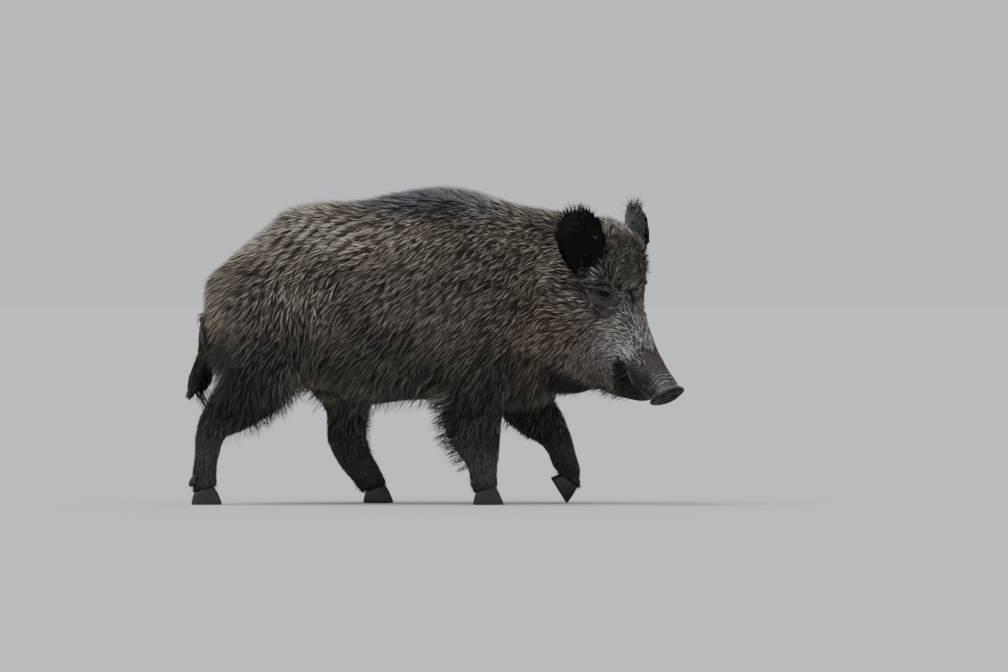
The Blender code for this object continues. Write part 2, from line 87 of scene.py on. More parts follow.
AXES = np.array(HEAD_TURN)  # columns: ahead, left, up
TIP = np.array(EYE_LEVEL - HEAD_TURN @ Vector(EYE_MIDDLE))
EYE_PLACE = (-0.2397, 0.0521, 0.0742)  # ahead, out, up
WHORL = (-0.103, -0.036)  # ahead and up: the hair of the muzzle's side turns round it
EAR_ROOT = (-0.318, 0.078, 0.095)  # ahead, out, up
EAR_OPENING = {"right": (0.72, 0.69, 0.0), "left": (0.35, 0.94, 0.0)}  # the way each ear faces

# The disc at the snout's end, which faces a little further down than the muzzle points.
DISC_TILT = math.radians(14)
DISC_PLACE = np.array((0.01, 0.0, -0.0049))
DISC_AHEAD = np.array((math.cos(DISC_TILT), 0.0, -math.sin(DISC_TILT)))
DISC_UP = np.array((math.sin(DISC_TILT), 0.0, math.cos(DISC_TILT)))
DISC_RADIUS = 0.0375


def in_head(points):
    """Places in the head's own axes, from the middle of the snout's face."""
    return (points - TIP) @ AXES


def from_head(vectors):
    """Directions from the head's own axes to the world's."""
    return np.array(vectors) @ AXES.T


def on_disc(own):
    """Head places as seen from the disc: ahead of its face, across and up."""
    own = own - DISC_PLACE
    return own @ DISC_AHEAD, own[:, 1], own @ DISC_UP


# ---- Small maths on arrays of points ----


def reach_of(vectors):
    return np.linalg.norm(vectors, axis=-1)


def unit(vectors):
    return vectors / np.maximum(np.linalg.norm(vectors, axis=-1, keepdims=True), 1e-9)


def ramp(values, start, end):
    """0 before start, 1 past end, and smooth between."""
    t = np.clip((values - start) / (end - start), 0, 1)
    return t * t * (3 - 2 * t)


def fall(values, start, end):
    """1 before start, 0 past end, and smooth between."""
    return 1 - ramp(values, start, end)


def band(values, start, full, fade, end):
    """0 outside start and end, 1 from full to fade, and smooth between."""
    return ramp(values, start, full) * fall(values, fade, end)


def bump(values, middle, width):
    """1 at the middle, fading to 0 either side."""
    return np.exp(-(((values - middle) / width) ** 2))


def near(points, centre, radius):
    """1 at a centre, fading to 0 around it; the radius may be given along each axis."""
    return np.exp(-np.sum(((points - np.array(centre)) / np.array(radius)) ** 2, axis=-1))


def mix(first, second, share):
    """The first values eased to the second, as far as each place's share says."""
    share = np.reshape(share, np.shape(share) + (1,) * (np.ndim(first) - np.ndim(share)))
    return first + (second - first) * share


def layered(values, *layers):
    """The values with others laid over them in turn, each by its share."""
    for value, share in layers:
        values = mix(values, value, share)
    return values


WAVES = np.random.default_rng(SEED).normal(size=(4, 7, 3))
PHASES = np.random.default_rng(SEED + 1).uniform(0, TURN, size=(4, 7))


def drift(points, size, kind=0):
    """A smooth random field, about -1 to 1, that changes over the given size."""
    angles = points @ (WAVES[kind].T * 2.2 / size) + PHASES[kind]
    return np.sin(angles).sum(axis=-1) / 2.6


def along_surface(directions, normals):
    """The directions laid flat on the surface."""
    return unit(directions - normals * np.sum(directions * normals, axis=-1, keepdims=True))


# ---- Mesh helpers ----


def linked(name, data):
    made = bpy.data.objects.new(name, data)
    bpy.context.scene.collection.objects.link(made)
    return made


def new_object(name, points, faces):
    """A new smooth mesh of faces that all have as many corners."""
    faces = np.array(faces, np.int32)
    mesh = bpy.data.meshes.new(name)
    mesh.vertices.add(len(points))
    mesh.vertices.foreach_set("co", np.array(points, np.float32).ravel())
    mesh.loops.add(faces.size)
    mesh.loops.foreach_set("vertex_index", faces.ravel())
    mesh.polygons.add(len(faces))
    mesh.polygons.foreach_set("loop_start", np.arange(0, faces.size, faces.shape[1], dtype=np.int32))
    mesh.update(calc_edges=True)
    mesh.shade_smooth()
    return linked(name, mesh)


def table_of(items, key, width, kind=float):
    flat = np.empty(len(items) * width, kind)
    items.foreach_get(key, flat)
    return flat.reshape(-1, width)


def points_of(piece):
    return table_of(piece.data.vertices, "co", 3)


def normals_of(piece):
    return table_of(piece.data.vertex_normals, "vector", 3)


def edges_of(piece):
    return table_of(piece.data.edges, "vertices", 2, int)


def triangles_of(piece):
    piece.data.calc_loop_triangles()
    return table_of(piece.data.loop_triangles, "vertices", 3, int)


def tree_of(piece):
    return BVHTree.FromPolygons(points_of(piece).tolist(), triangles_of(piece).tolist())


def move_points(piece, points):
    piece.data.vertices.foreach_set("co", points.ravel())
    piece.data.update()


@contextmanager
def editing(piece):
    """The piece's mesh, open for changes."""
    bm = bmesh.new()
    bm.from_mesh(piece.data)
    yield bm
    bm.to_mesh(piece.data)
    bm.free()
    piece.data.update()


def averaged(values, edges, weight, rounds):
    """Each value eased towards its neighbours', by the weight, so many times."""
    count = np.bincount(edges.ravel(), minlength=len(values))[:, None]
    weight = np.broadcast_to(np.reshape(weight, (-1, 1)), (len(values), 1))
    for _ in range(rounds):
        sums = np.empty_like(values)
        for k in range(values.shape[1]):
            sums[:, k] = np.bincount(edges[:, 0], values[edges[:, 1], k], len(values))
            sums[:, k] += np.bincount(edges[:, 1], values[edges[:, 0], k], len(values))
        values = values + (sums / np.maximum(count, 1) - values) * weight
    return values


EASING = 4  # rounds, of the fused mesh


def gathered(name, nodes):
    """The meshes of CAD nodes as one new object."""
    sources = [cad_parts[node] for node in nodes]
    points = [points_of(source) for source in sources]
    starts = np.cumsum([0] + [len(part) for part in points])
    faces = [triangles_of(source) + start for source, start in zip(sources, starts)]
    return new_object(name, np.concatenate(points), np.concatenate(faces))


def remeshed(piece, voxel):
    """The piece's bodies fused into one mesh of small even faces."""
    with editing(piece) as bm:
        bmesh.ops.remove_doubles(bm, verts=bm.verts, dist=1e-6)
    fuse = piece.modifiers.new("fuse", "REMESH")
    fuse.mode = "VOXEL"
    fuse.voxel_size = voxel
    ease = piece.modifiers.new("ease", "SMOOTH")
    ease.factor = 0.5
    ease.iterations = EASING
    shown = piece.evaluated_get(bpy.context.evaluated_depsgraph_get())
    first = piece.data
    mesh = bpy.data.meshes.new_from_object(shown)
    piece.modifiers.clear()
    piece.data = mesh
    bpy.data.meshes.remove(first)
    return piece


def refine(piece, wanted):
    """Splits in four the faces whose corners all lie where the function of place says so."""
    inside = wanted(points_of(piece))
    with editing(piece) as bm:
        edges = [e for e in bm.edges if inside[e.verts[0].index] and inside[e.verts[1].index]]
        bmesh.ops.subdivide_edges(bm, edges=edges, cuts=1, use_grid_fill=True)
        bmesh.ops.triangulate(bm, faces=[f for f in bm.faces if len(f.verts) > 4])


# ---- Skin ----

FLESH = sorted(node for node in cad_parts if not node.startswith(("eye_",) + HORN))
SKIN_VOXEL = 0.0058
EAR_SWELL = 0.0022  # the ears' walls are thickened so, while the skin is fused


def surface_of(nodes):
    piece = gathered("surface", nodes)
    tree = tree_of(piece)
    bpy.data.objects.remove(piece)
    return tree


EAR_SURFACES = {word: surface_of(["ear_" + word]) for word, _ in SIDES}
SNOUT_SURFACE = surface_of(["snout"])
HORN_SURFACE = surface_of([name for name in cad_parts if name.startswith(HORN)])


def distances(points, tree, reach):
    """How far each point is from a surface, up to the reach."""
    found = [tree.find_nearest(place, reach)[3] for place in points.tolist()]
    return np.array([reach if gap is None else gap for gap in found])


def ear_share(points):
    """1 on the ears, 0 off them."""
    share = np.zeros(len(points))
    for word, _ in SIDES:
        low, high = (np.array(corner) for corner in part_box("ear_" + word))
        close = np.all((points > low - 0.01) & (points < high + 0.01), axis=1)
        if close.any():
            gap = distances(points[close], EAR_SURFACES[word], 0.02)
            share[close] = np.maximum(share[close], fall(gap, 0.003, 0.007))
    return share


def foot_share(points):
    """1 where the leg meets its hooves and dewclaws, 0 away from them."""
    share = np.zeros(len(points))
    low = points[:, 2] < 0.13
    share[low] = fall(distances(points[low], HORN_SURFACE, 0.03), 0.004, 0.018)
    return share


def is_head(points):
    ahead, across, up = in_head(points).T
    return (ahead > -0.4) & (np.abs(across) < 0.16) & (up > -0.17)


def is_face(points):
    """The muzzle's end, the surroundings of the eyes and the ears."""
    own = in_head(points)
    muzzle = (own[:, 0] > -0.135) & (np.abs(own[:, 1]) < 0.08)
    eye = reach_of(mirrored(own) - EYE_PLACE) < 0.045
    return muzzle | eye | (ear_share(points) > 0.3)


def is_disc(points):
    ahead, across, _ = in_head(points).T
    return (ahead > -0.016) & (np.abs(across) < 0.06)


def mirrored(own):
    """Head places with both sides laid on the left one."""
    return own * np.where(own[:, 1:2] < 0, (1, -1, 1), 1)


class Zones:
    """How far each point belongs to each zone of the body, from 0 to 1."""

    def __init__(self, points, normals):
        self.points = points
        x, y, z = points.T
        self.x, self.y, self.z = x, y - MIDLINE, z
        self.own = in_head(points)
        self.ahead, self.across, self.up = self.own.T
        self.side = mirrored(self.own)
        self.out = self.side[:, 1]
        self.ear = ear_share(points)
        facing = ear_facing(self.own, normals)
        self.ear_back = self.ear * ramp(facing, 0.5, -0.1)
        self.ear_rim = self.ear * ramp(facing, 0.75, 0.25) * ramp(facing, -0.75, -0.25)
        self.foot = foot_share(points)
        self.head = ramp(self.ahead, -0.43, -0.3) * ramp(z, 0.19, 0.23) * ramp(x, 0.22, 0.27)
        self.snout = ramp(self.ahead, -0.045, -0.022) * self.head
        self.tail = fall(x, -0.492, -0.48) * bump(self.y, 0, 0.035) * fall(z, 0.405, 0.425)
        self.tail *= ramp(z, 0.2, 0.22)
        self.tassel = self.tail * fall(z, 0.325, 0.345)
        self.leg = fall(z, 0.2, 0.3) * (1 - self.head) * (1 - self.tail)
        self.shank = fall(z, 0.12, 0.19) * (1 - self.head) * (1 - self.tail)
        self.belly = fall(z, 0.26, 0.33) * (1 - self.shank) * (1 - self.head)
        self.mane = ramp(z, 0.6, 0.67) * bump(self.y, 0, 0.07) * ramp(x, -0.36, -0.15) * (1 - self.head)
        self.bowl = ear_bowl(self.own) * self.head

    def drift(self, size, kind=0):
        return drift(self.points, size, kind)

    def spot(self, centre, radii):
        """As near(), on both sides of the head, in millimetres: ahead, out, up."""
        return near(self.side, np.array(centre) / 1000, np.array(radii) / 1000)


def ear_facing(own, normals):
    """How far the skin faces the way its ear opens, from 1 with it to -1 against it."""
    right = np.array(EAR_OPENING["right"]) * (1, -1, 1)
    openings = unit(np.where(own[:, 1:2] > 0, EAR_OPENING["left"], right))
    return np.sum(openings * (normals @ AXES), axis=1)


def ear_bowl(own):
    """1 in the bottom of an ear's cup, before its root."""
    share = np.zeros(len(own))
    for word, side in SIDES:
        place = np.array(EAR_ROOT) + 0.016 * np.array(EAR_OPENING[word]) + (0, 0, 0.012)
        share = np.maximum(share, near(own, place * (1, side, 1), (0.026, 0.026, 0.034)))
    return np.clip(share * 1.6, 0, 1)


def coat_depth(at):
    """How far the skin lies inside the coat's tips, in metres."""
    behind = fall(at.ahead, -0.2, -0.15)
    face = layered(
        0.013,
        (0.0035, ramp(at.ahead, -0.3, -0.13)),
        (0.017, ramp(at.up, 0.09, 0.13) * behind),
        (0.005, ramp(at.up, 0.09, 0.12) * ramp(at.ahead, -0.31, -0.27) * behind),
        (0.002, ramp(at.ahead, -0.13, -0.09) * fall(at.up, -0.03, -0.01)),
        (0.001, np.maximum(eye_patch(at, 1.35), lip_share(at))),
    )
    return layered(
        0.015,
        (0.019, at.mane), (0.013, at.belly), (0.008, at.leg), (0.0045, at.shank),
        (face, at.head), (0, at.snout), (0.004, at.tail), (0.008, at.tassel),
        (0.0012, at.foot), (0.0022, at.ear),
    )


def swollen_ears(piece):
    """Thickens the ears' thin walls, so that none of them falls between the voxels."""
    points = points_of(piece)
    gaps = [distances(points, EAR_SURFACES[word], 0.02) for word, _ in SIDES]
    on_ears = (np.min(gaps, axis=0) < 1e-5) * 1.0
    move_points(piece, points + normals_of(piece) * (EAR_SWELL * on_ears)[:, None])


def build_skin():
    skin = gathered("skin", FLESH + list(EYES))
    swollen_ears(skin)
    remeshed(skin, SKIN_VOXEL)
    for wanted in (is_head, is_face, is_disc):
        refine(skin, wanted)
    edges = edges_of(skin)
    points = averaged(points_of(skin), edges, 0.5, 3)
    points = fitted(points, ear_share(points), EAR_SURFACES["right"], EAR_SURFACES["left"])
    snout = ramp(in_head(points)[:, 0], -0.03, -0.024) * (points[:, 0] > 0.3)
    points = fitted(points, snout, SNOUT_SURFACE)
    points = averaged(points, edges, 0.4, 2)
    points = averaged(points, edges, 0.5 * flank_share(points, normals_of(skin)), 140)
    move_points(skin, points)
    at = Zones(points, normals_of(skin))
    depth = averaged(coat_depth(at)[:, None], edges, 0.5, 8)
    points = points - normals_of(skin) * depth
    limbs = 1 - np.max([at.ear, at.head, at.foot], axis=0)
    points = averaged(points, edges, 0.5 * limbs, 4)
    move_points(skin, points)
    move_points(skin, points + normals_of(skin) * (FURROW_DEPTH * furrows(at))[:, None])
    sculpt_face(skin, at)
    return skin


def flank_share(points, normals):
    """1 on the sides of the trunk, where the upper legs' solids would show as steps."""
    x, y, z = points.T
    out = np.abs(y - MIDLINE)
    trunk = ramp(z, 0.31, 0.37) * fall(x, 0.16, 0.24)
    off_tail = ramp(np.hypot((x + 0.5) / 0.03, out / 0.04), 0.8, 1.4)
    ledge = ramp(out, 0.06, 0.085) * band(z, 0.36, 0.4, 0.51, 0.56)
    upright = fall(np.abs(normals[:, 2]), 0.6, 0.85)
    return trunk * off_tail * np.maximum(upright, ledge)


def fitted(points, share, *surfaces):
    """Points drawn to the nearest surface, as far as their share."""
    moved = points.copy()
    near_by = share > 0.01
    best = np.full(near_by.sum(), np.inf)
    for surface in surfaces:
        target = np.array([surface.find_nearest(place)[0] for place in points[near_by].tolist()])
        gap = reach_of(target - points[near_by])
        moved[near_by] = np.where((gap < best)[:, None], target, moved[near_by])
        best = np.minimum(best, gap)
    return mix(points, moved, share)


FURROW_DEPTH = 0.0042
FURROW_PITCH = 0.023
LOIN = (-0.071, 0.387)  # along and up: the coat over the rump is combed in arcs round it


def rump_arcs(at):
    """How far from the loin each place is, its arc's slope, and its share of the rump's arcs."""
    along, above = at.x - LOIN[0], at.z - LOIN[1]
    reach = np.hypot(along, above)
    slope = np.degrees(np.arctan2(-along, np.maximum(above, 0.01)))
    share = band(reach, 0.12, 0.18, 0.27, 0.36) * ramp(-at.x, 0.1, 0.18)
    return reach, slope, share * band(at.z, 0.38, 0.45, 0.6, 0.65)


def furrows(at):
    """Shallow waves of the coat along the rump's arcs, -1 to 1."""
    reach, _, share = rump_arcs(at)
    phase = reach * TURN / FURROW_PITCH + 1.3 * at.drift(0.14, 1)
    return np.sin(phase) * share * (0.75 + 0.25 * at.drift(0.05, 2))


# ---- Folds of the face ----

# The edge of the upper lip: ahead, up.
LIP_EDGE = ((-0.12, -0.014), (-0.1, -0.007), (-0.083, -0.024), (-0.062, -0.036), (-0.03, -0.043))
NOSTRIL = (0.015, 0.0045)  # out and up on the disc
NOSTRIL_RADII = (0.0072, 0.0088)


def sculpt_face(skin, at):
    """The folds of the face, as moves along the skin's normals, and the disc of the snout."""
    ahead, out, up = at.side.T
    lift = -0.0036 * mouth_line(at) - 0.0045 * mouth_pit(at)
    lift += 0.0022 * bump(up, 0.01 + 0.1 * (ahead + 0.08), 0.012) * ramp(ahead, -0.13, -0.1)
    lift += 0.0018 * lip_edge(at)
    lift += 0.0035 * at.spot((-250, 62, 106), (32, 35, 11))
    lift -= 0.003 * at.spot((-205, 54, 50), (30, 40, 9))
    lift += 0.002 * at.spot((-190, 54, 28), (45, 40, 10))
    lift += 0.0005 * lip_ridges(at)
    lift += 0.0013 * bridge_wrinkles(at)
    points = points_of(skin) + normals_of(skin) * (lift * at.head)[:, None]
    move_points(skin, sculpt_disc(points))


def over_lip(at):
    """Height above the upper lip's edge."""
    return at.up - np.interp(at.ahead, *zip(*LIP_EDGE))


def mouth_line(at):
    """1 along the closed mouth, from under the disc back to its corner."""
    along = band(at.ahead, -0.124, -0.11, -0.03, -0.02)
    return bump(over_lip(at), -0.002, 0.004) * along * ramp(at.out, 0.006, 0.014)


def mouth_pit(at):
    """1 in the pocket below the corner of the mouth, which is sunk and painted black as shade."""
    upper = at.spot((-113, 39, -21), (11, 30, 12))
    lower = at.spot((-95, 36, -40), (13, 30, 16))
    return np.clip(1.5 * np.maximum(upper, lower), 0, 1)


def eye_gap(points):
    """How far each point is from the nearer eyeball."""
    return np.min([reach_of(points - middle_of(eye)) for eye in EYES], axis=0) - EYE_RADIUS


def lip_share(at):
    """1 on the almost bare skin of the lips and over the muzzle's end."""
    ahead = at.ahead + 0.005 * at.drift(0.016, 3)
    upper = ramp(over_lip(at), -0.004, 0.003)
    top = ramp(ahead, -0.1, -0.07) * ramp(at.up, 0.01, 0.03)
    side = ramp(ahead, -0.104, -0.084) * fall(at.up, 0.004, 0.024) * upper
    middle = ramp(ahead, -0.074, -0.052) * upper
    return np.max([top, side, middle], axis=0) * at.head


def lip_ridges(at):
    """Waves across the upper lip, where its whiskers root."""
    ahead, out, up = at.side.T
    wave = np.sin((0.72 * up - 0.69 * ahead) * TURN / 0.0062 + at.drift(0.02, 2))
    return wave * bump(ahead, -0.068, 0.02) * bump(up, 0.005, 0.013) * ramp(out, 0.018, 0.028)


def lip_edge(at):
    """1 along the pale edge of the upper lip."""
    along = band(at.ahead, -0.106, -0.096, -0.066, -0.052)
    return bump(over_lip(at), 0.0045, 0.0032) * along * ramp(at.out, 0.018, 0.026)


def bridge_wrinkles(at):
    """Transverse folds over the muzzle behind the disc, -1 to 1."""
    up = at.up
    ahead = at.ahead + 0.0016 * at.drift(0.02) + 0.25 * np.maximum(0.01 - up, 0)
    wave = np.sin(ahead * TURN / 0.0095) * (0.6 + 0.4 * at.drift(0.012, 1))
    wave = wave * bump(ahead, -0.02, 0.016) * (0.35 + 0.65 * ramp(up, 0.008, 0.024))
    return wave * ramp(up, -0.022, 0.01)


def nostril_gap(across, up):
    """How far places on the disc are from the nearer nostril's middle, in its radii."""
    out = np.abs(across) - NOSTRIL[0]
    return np.hypot(out / NOSTRIL_RADII[0], (up - NOSTRIL[1]) / NOSTRIL_RADII[1])


# Where the nostrils are painted black, as shade inside them.
def nostril_share(at):
    depth, across, up = on_disc(at.own)
    return fall(nostril_gap(across, up), 0.7, 1.15) * ramp(depth, -0.02, -0.012) * at.head


def sculpt_disc(points):
    """A rolled rim round a hollow face with two nostrils."""
    own = in_head(points)
    depth, across, up = on_disc(own)
    reach = np.hypot(across, up * 1.04) / DISC_RADIUS
    disc = ramp(own[:, 0], -0.04, -0.03) * (reach < 1.6) * (points[:, 0] > 0.3)
    radial = unit(across[:, None] * (0, 1, 0) + up[:, None] * DISC_UP)
    rim = 0.0016 * bump(depth, -0.004, 0.0045) - 0.003 * bump(depth, -0.0145, 0.0055)
    rim = rim * (reach > 0.6)
    face = ramp(depth, -0.008, -0.002)
    hollow = -0.0026 * fall(reach, 0.3, 0.88) * face
    crest = 0.0012 * bump(across, 0, 0.004) * (reach < 0.8) * face
    pit = fall(nostril_gap(across, up + 0.25 * np.abs(across) - 0.004), 0.62, 1.08)
    pit = pit * ramp(depth, -0.009, -0.003)
    step = radial * rim[:, None] + DISC_AHEAD * (hollow + crest - 0.0105 * pit)[:, None]
    return points + from_head(step * disc[:, None])


# ---- Lids ----

OPENING = (0.0122, 0.0082, 0.0064)  # half the eye's length, and its height above and below the middle
LID_REACH = (0.026, 0.022)  # where the lids' skin runs into the face, along and up
GAZE = (0.55, 0.8, 0.2)  # the way an eye faces: ahead, out, up
SLIT = (0.92, 0.0, 0.34)  # the way an eye's opening runs, to its front corner
LID_STEPS = 72
LID_ROWS = (
    # share of the way out from the opening to the face, height over the eyeball
    (-0.16, -0.0016), (-0.05, 0.0002), (0.0, 0.0011), (0.05, 0.0018), (0.13, 0.0021),
    (0.24, 0.002), (0.33, 0.001), (0.42, 0.0018), (0.56, 0.0022),
)
LID_FADE = (0.7, 0.85, 1.0)  # rows that lie on the face's own skin
LID_SINK = 0.0012  # of the outermost row under the face's skin
LID_PROUD = 0.0006  # of the rows that run into the face, over its skin
UNDER_LIDS = 0.013  # how far the skin's first shape dips under the lids
RAY_START = 0.05  # how far out from the eye the rays to the face start


class Eye(namedtuple("Eye", "centre slit above outward")):
    """An eye's middle, and its directions along the opening, above it and outward."""

    def place(self, flat, depth):
        """Places along and above the opening's middle, so far out from the eye's."""
        return self.centre + flat[:, :1] * self.slit + flat[:, 1:] * self.above + depth * self.outward


def eye_on(word, side):
    outward = unit(from_head(np.array(GAZE) * (1, side, 1)))
    slit = from_head(SLIT)
    slit = unit(slit - outward * (slit @ outward))
    above = np.cross(outward, slit)
    return Eye(np.array(middle_of("eye_" + word)), slit, above * np.sign(above @ AXES[:, 2]), outward)


def on_face(eye, flat, tree):
    """Where rays towards the eye, offset by the flat places, meet the skin."""
    hits = []
    for start in eye.place(flat, RAY_START):
        hit = tree.ray_cast(Vector(start), Vector(-eye.outward), 0.12)[0]
        hits.append(start - eye.outward * RAY_START if hit is None else np.array(hit))
    return np.array(hits)


def lid_mesh(name, eye, tree):
    """Rings of skin from the edge of the eye's opening out on to the face."""
    turn = np.linspace(0, TURN, LID_STEPS, endpoint=False)
    along, above = np.cos(turn), np.sin(turn)
    height = np.where(above > 0, OPENING[1], OPENING[2]) * above * np.abs(above) ** 0.35
    opening = np.stack([OPENING[0] * along, height], axis=1)
    border = np.stack([LID_REACH[0] * along, LID_REACH[1] * above], axis=1)
    rows = []
    for share, proud in LID_ROWS:
        flat = mix(opening, border, share)
        radius = EYE_RADIUS + proud
        depth = np.sqrt(np.maximum(radius**2 - (flat**2).sum(axis=1), (0.35 * radius) ** 2))
        face = on_face(eye, flat, tree) + eye.outward * LID_PROUD
        rows.append(mix(eye.place(flat, depth[:, None]), face, ramp(share, 0.2, 0.75)))
    for share in LID_FADE:
        sink = LID_SINK * ramp(share, 0.7, 1.0) - 0.0004
        rows.append(on_face(eye, mix(opening, border, share), tree) - eye.outward * sink)
    first = np.arange(LID_STEPS * (len(rows) - 1))
    after = np.where(first % LID_STEPS == LID_STEPS - 1, first + 1 - LID_STEPS, first + 1)
    faces = np.stack([first, after, after + LID_STEPS, first + LID_STEPS], axis=1)
    return new_object(name, np.concatenate(rows), faces)


def add_lids(skin):
    """Dips the skin's first shape under the lids, and joins them to it as one mesh."""
    tree = tree_of(skin)
    points = points_of(skin)
    lids = []
    for word, side in SIDES:
        eye = eye_on(word, side)
        offset = points - eye.centre
        share = np.hypot(offset @ eye.slit / LID_REACH[0], offset @ eye.above / LID_REACH[1])
        dip = UNDER_LIDS * fall(share, 0.6, 0.9) * (offset @ eye.outward > 0)
        points = points - eye.outward * dip[:, None]
        lids.append(lid_mesh("lids_" + word, eye, tree))
    move_points(skin, points)
    with editing(skin) as bm:
        for lid in lids:
            bm.from_mesh(lid.data)
            bpy.data.objects.remove(lid)


# ---- Lie, length and colour of the hair, as functions of place ----


def lie_of_hair(at, normals):
    """The way the hair lies, along the skin."""
    x, z = at.x, at.z
    _, slope, share = rump_arcs(at)
    steep = mix(48.0, 40.0, ramp(x, 0.0, 0.16))
    steep = steep + 17 * fall(x, -0.47, -0.32) * fall(z, 0.58, 0.66)
    steep = mix(steep, slope, 0.75 * share)
    steep = steep + 34 * bump(x, -0.275, 0.045) * fall(z, 0.36, 0.46)
    steep = layered(steep, (12.0, ramp(z, 0.635, 0.68)), (78.0, at.leg), (74.0, at.belly))
    steep = np.radians(steep + 6 * at.drift(0.12) + 6 * at.drift(0.03, 2))
    body = np.stack([-np.cos(steep), 0 * x, -np.sin(steep)], axis=1)
    lie = layered(
        body,
        (from_head(face_lie(at)), at.head),
        ((-0.35, 0.0, -1.0), at.tail),
        ((0.45, 0.0, -1.0), at.tail * ramp(normals[:, 0], 0.0, 0.5)),
    )
    for word, side in SIDES:
        lie = mix(lie, ear_lie(at.points, word), at.ear * (np.sign(at.across) == side))
    return along_surface(lie, normals)


def ear_lie(points, word):
    """Up the ear, and out to its rim."""
    low, high = (np.array(corner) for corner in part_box("ear_" + word))
    root = np.array(((low[0] + high[0]) / 2, (low[1] + high[1]) / 2, low[2]))
    upward = unit(np.array((-0.012, 0.0, high[2] - low[2])))
    offset = points - root
    return unit(upward + 10 * (offset - upward * (offset @ upward)[:, None]))


def face_lie(at):
    """On the head, in its own axes: back from the snout, round the mouth's corner, up over the brow."""
    ahead, out, up = at.side.T
    zero = 0 * ahead
    sided = np.stack([zero + 1, np.sign(at.across), zero + 1], axis=1)
    from_mouth = np.stack([ahead - WHORL[0], up - WHORL[1]], axis=1)
    around = np.stack([-from_mouth[:, 1], zero, from_mouth[:, 0]], axis=1)
    reach = reach_of(from_mouth)
    brow = unit(unit((at.side - EYE_PLACE) * sided) + (-0.45, 0, 0.5))
    above = ramp(up + 0.35 * (ahead + 0.23), 0.082, 0.1) * ramp(ahead, -0.38, -0.34)
    return layered(
        sided * (-0.75, 0.15, -0.65),
        (unit(around), fall(reach, 0.095, 0.165) * ramp(out, 0.006, 0.016)),
        (brow, above * fall(ahead, -0.2, -0.14)),
        ((-1.0, 0, 0.05), ramp(ahead, -0.21, -0.15) * fall(out, 0.012, 0.026)),
        ((-1.0, 0, -0.7), 0.7 * fall(up, -0.13, -0.07)),
    )


def standing(at):
    """How much further than elsewhere the hair stands out, as a share: over the brow and the crown."""
    brow = ramp(at.up, 0.085, 0.115) * band(at.ahead, -0.4, -0.34, -0.2, -0.14)
    return 0.15 * brow * at.head * (1 - at.ear)


def hair_length(at):
    face = mix(0.031, 0.014, ramp(at.ahead, -0.3, -0.1))
    face = mix(face, 0.006, np.maximum(eye_patch(at), lip_share(at)))
    return layered(
        0.026,
        (0.046, at.mane), (0.036, at.belly), (0.022, at.leg), (0.013, at.shank),
        (face, at.head), (0.016, at.bowl), (0.045, at.tail),
        (0.014, at.tail * ramp(at.z, 0.36, 0.4)), (0.06, at.tassel), (0.0075, at.ear),
    )


CHEEKWARD = (0.465, -0.69, 0.549)  # from an eye to the bridge, level across the cheek
BROWWARD = (-0.617, 0.09, 0.78)  # from an eye up to the brow
EYE_LOBES = ((-6, -10, 36, 23), (22, -8, 16, 18), (6, -36, 20, 22), (36, -30, 18, 7))  # as for beside_eye


def beside_eye(at, forward, above, length, height):
    """1 at a place beside each eye, fading to 0 around it; in millimetres."""
    offset = at.side - EYE_PLACE
    along = (offset @ CHEEKWARD - forward / 1000) / (length / 1000)
    across = (offset @ BROWWARD - above / 1000) / (height / 1000)
    return np.exp(-(along**2) - across**2) * (reach_of(offset) < 0.09)


def eye_patch(at, wider=1.0):
    """1 on the smooth dark skin round an eye, which reaches further below it than above."""
    ragged = 0.22 * at.drift(0.011, 2)
    lobes = [
        ramp(beside_eye(at, forward, above, length * wider, height * wider) + ragged, 0.38, 0.62)
        for forward, above, length, height in EYE_LOBES
    ]
    close = reach_of(at.side - EYE_PLACE) < 0.085
    return np.max(lobes, axis=0) * ramp(at.out, 0.024, 0.034) * close


def bare_share(at):
    """1 where skin shows its own colour through sparse hair."""
    return np.clip(eye_patch(at) + lip_share(at), 0, 1) * at.head


def shade(tip, shaft=None):
    """Colours of the hair in one zone, in linear light: its pale tips and its dark shafts."""
    return np.array((tip, shaft or tip))


FLANK = shade((0.27, 0.232, 0.192), (0.022, 0.019, 0.016))
RUMP = shade((0.64, 0.53, 0.405), (0.06, 0.048, 0.036))
MANE = shade((0.135, 0.138, 0.155), (0.028, 0.028, 0.031))
BELLY = shade((0.105, 0.092, 0.072), (0.014, 0.012, 0.009))
FLANK_FOLD = shade((0.19, 0.165, 0.12), (0.03, 0.026, 0.019))
LEG = shade((0.13, 0.122, 0.124), (0.036, 0.033, 0.034))
TAIL = shade((0.15, 0.13, 0.108), (0.04, 0.034, 0.028))
FRINGE = shade((0.5, 0.44, 0.33), (0.016, 0.014, 0.012))
CHEEK = shade((0.275, 0.24, 0.204), (0.022, 0.018, 0.015))
RUDDY = shade((0.24, 0.175, 0.125), (0.026, 0.016, 0.012))
GRIZZLE = shade((0.345, 0.323, 0.292), (0.012, 0.011, 0.01))
CREAM = shade((0.36, 0.32, 0.255), (0.03, 0.025, 0.02))
# Painted shadow: the dark of the jaw's underside and of the chin below the lip.
JAW_SHADE = shade((0.04, 0.036, 0.03), (0.012, 0.011, 0.009))
BLACK = shade((0.008, 0.008, 0.009), (0.003, 0.003, 0.003))
EAR_BACK = shade((0.092, 0.098, 0.112), (0.022, 0.023, 0.027))
EYE_SKIN = shade((0.054, 0.048, 0.044))
EYE_REAR = shade((0.072, 0.058, 0.06))
# Painted shade: the dark of the creases and hollows round the eyes.
HOLLOW_SHADE = shade((0.022, 0.017, 0.014))
PALE_LID = shade((0.15, 0.138, 0.13))
BARE = shade((0.034, 0.031, 0.03))
DARK_SKIN = shade((0.019, 0.016, 0.018))
RAW = shade((0.062, 0.038, 0.03))
LIP = shade((0.09, 0.062, 0.06))
WRINKLE = shade((0.21, 0.2, 0.18))
RIM = shade((0.07, 0.066, 0.06))
DISC = shade((0.011, 0.009, 0.007))


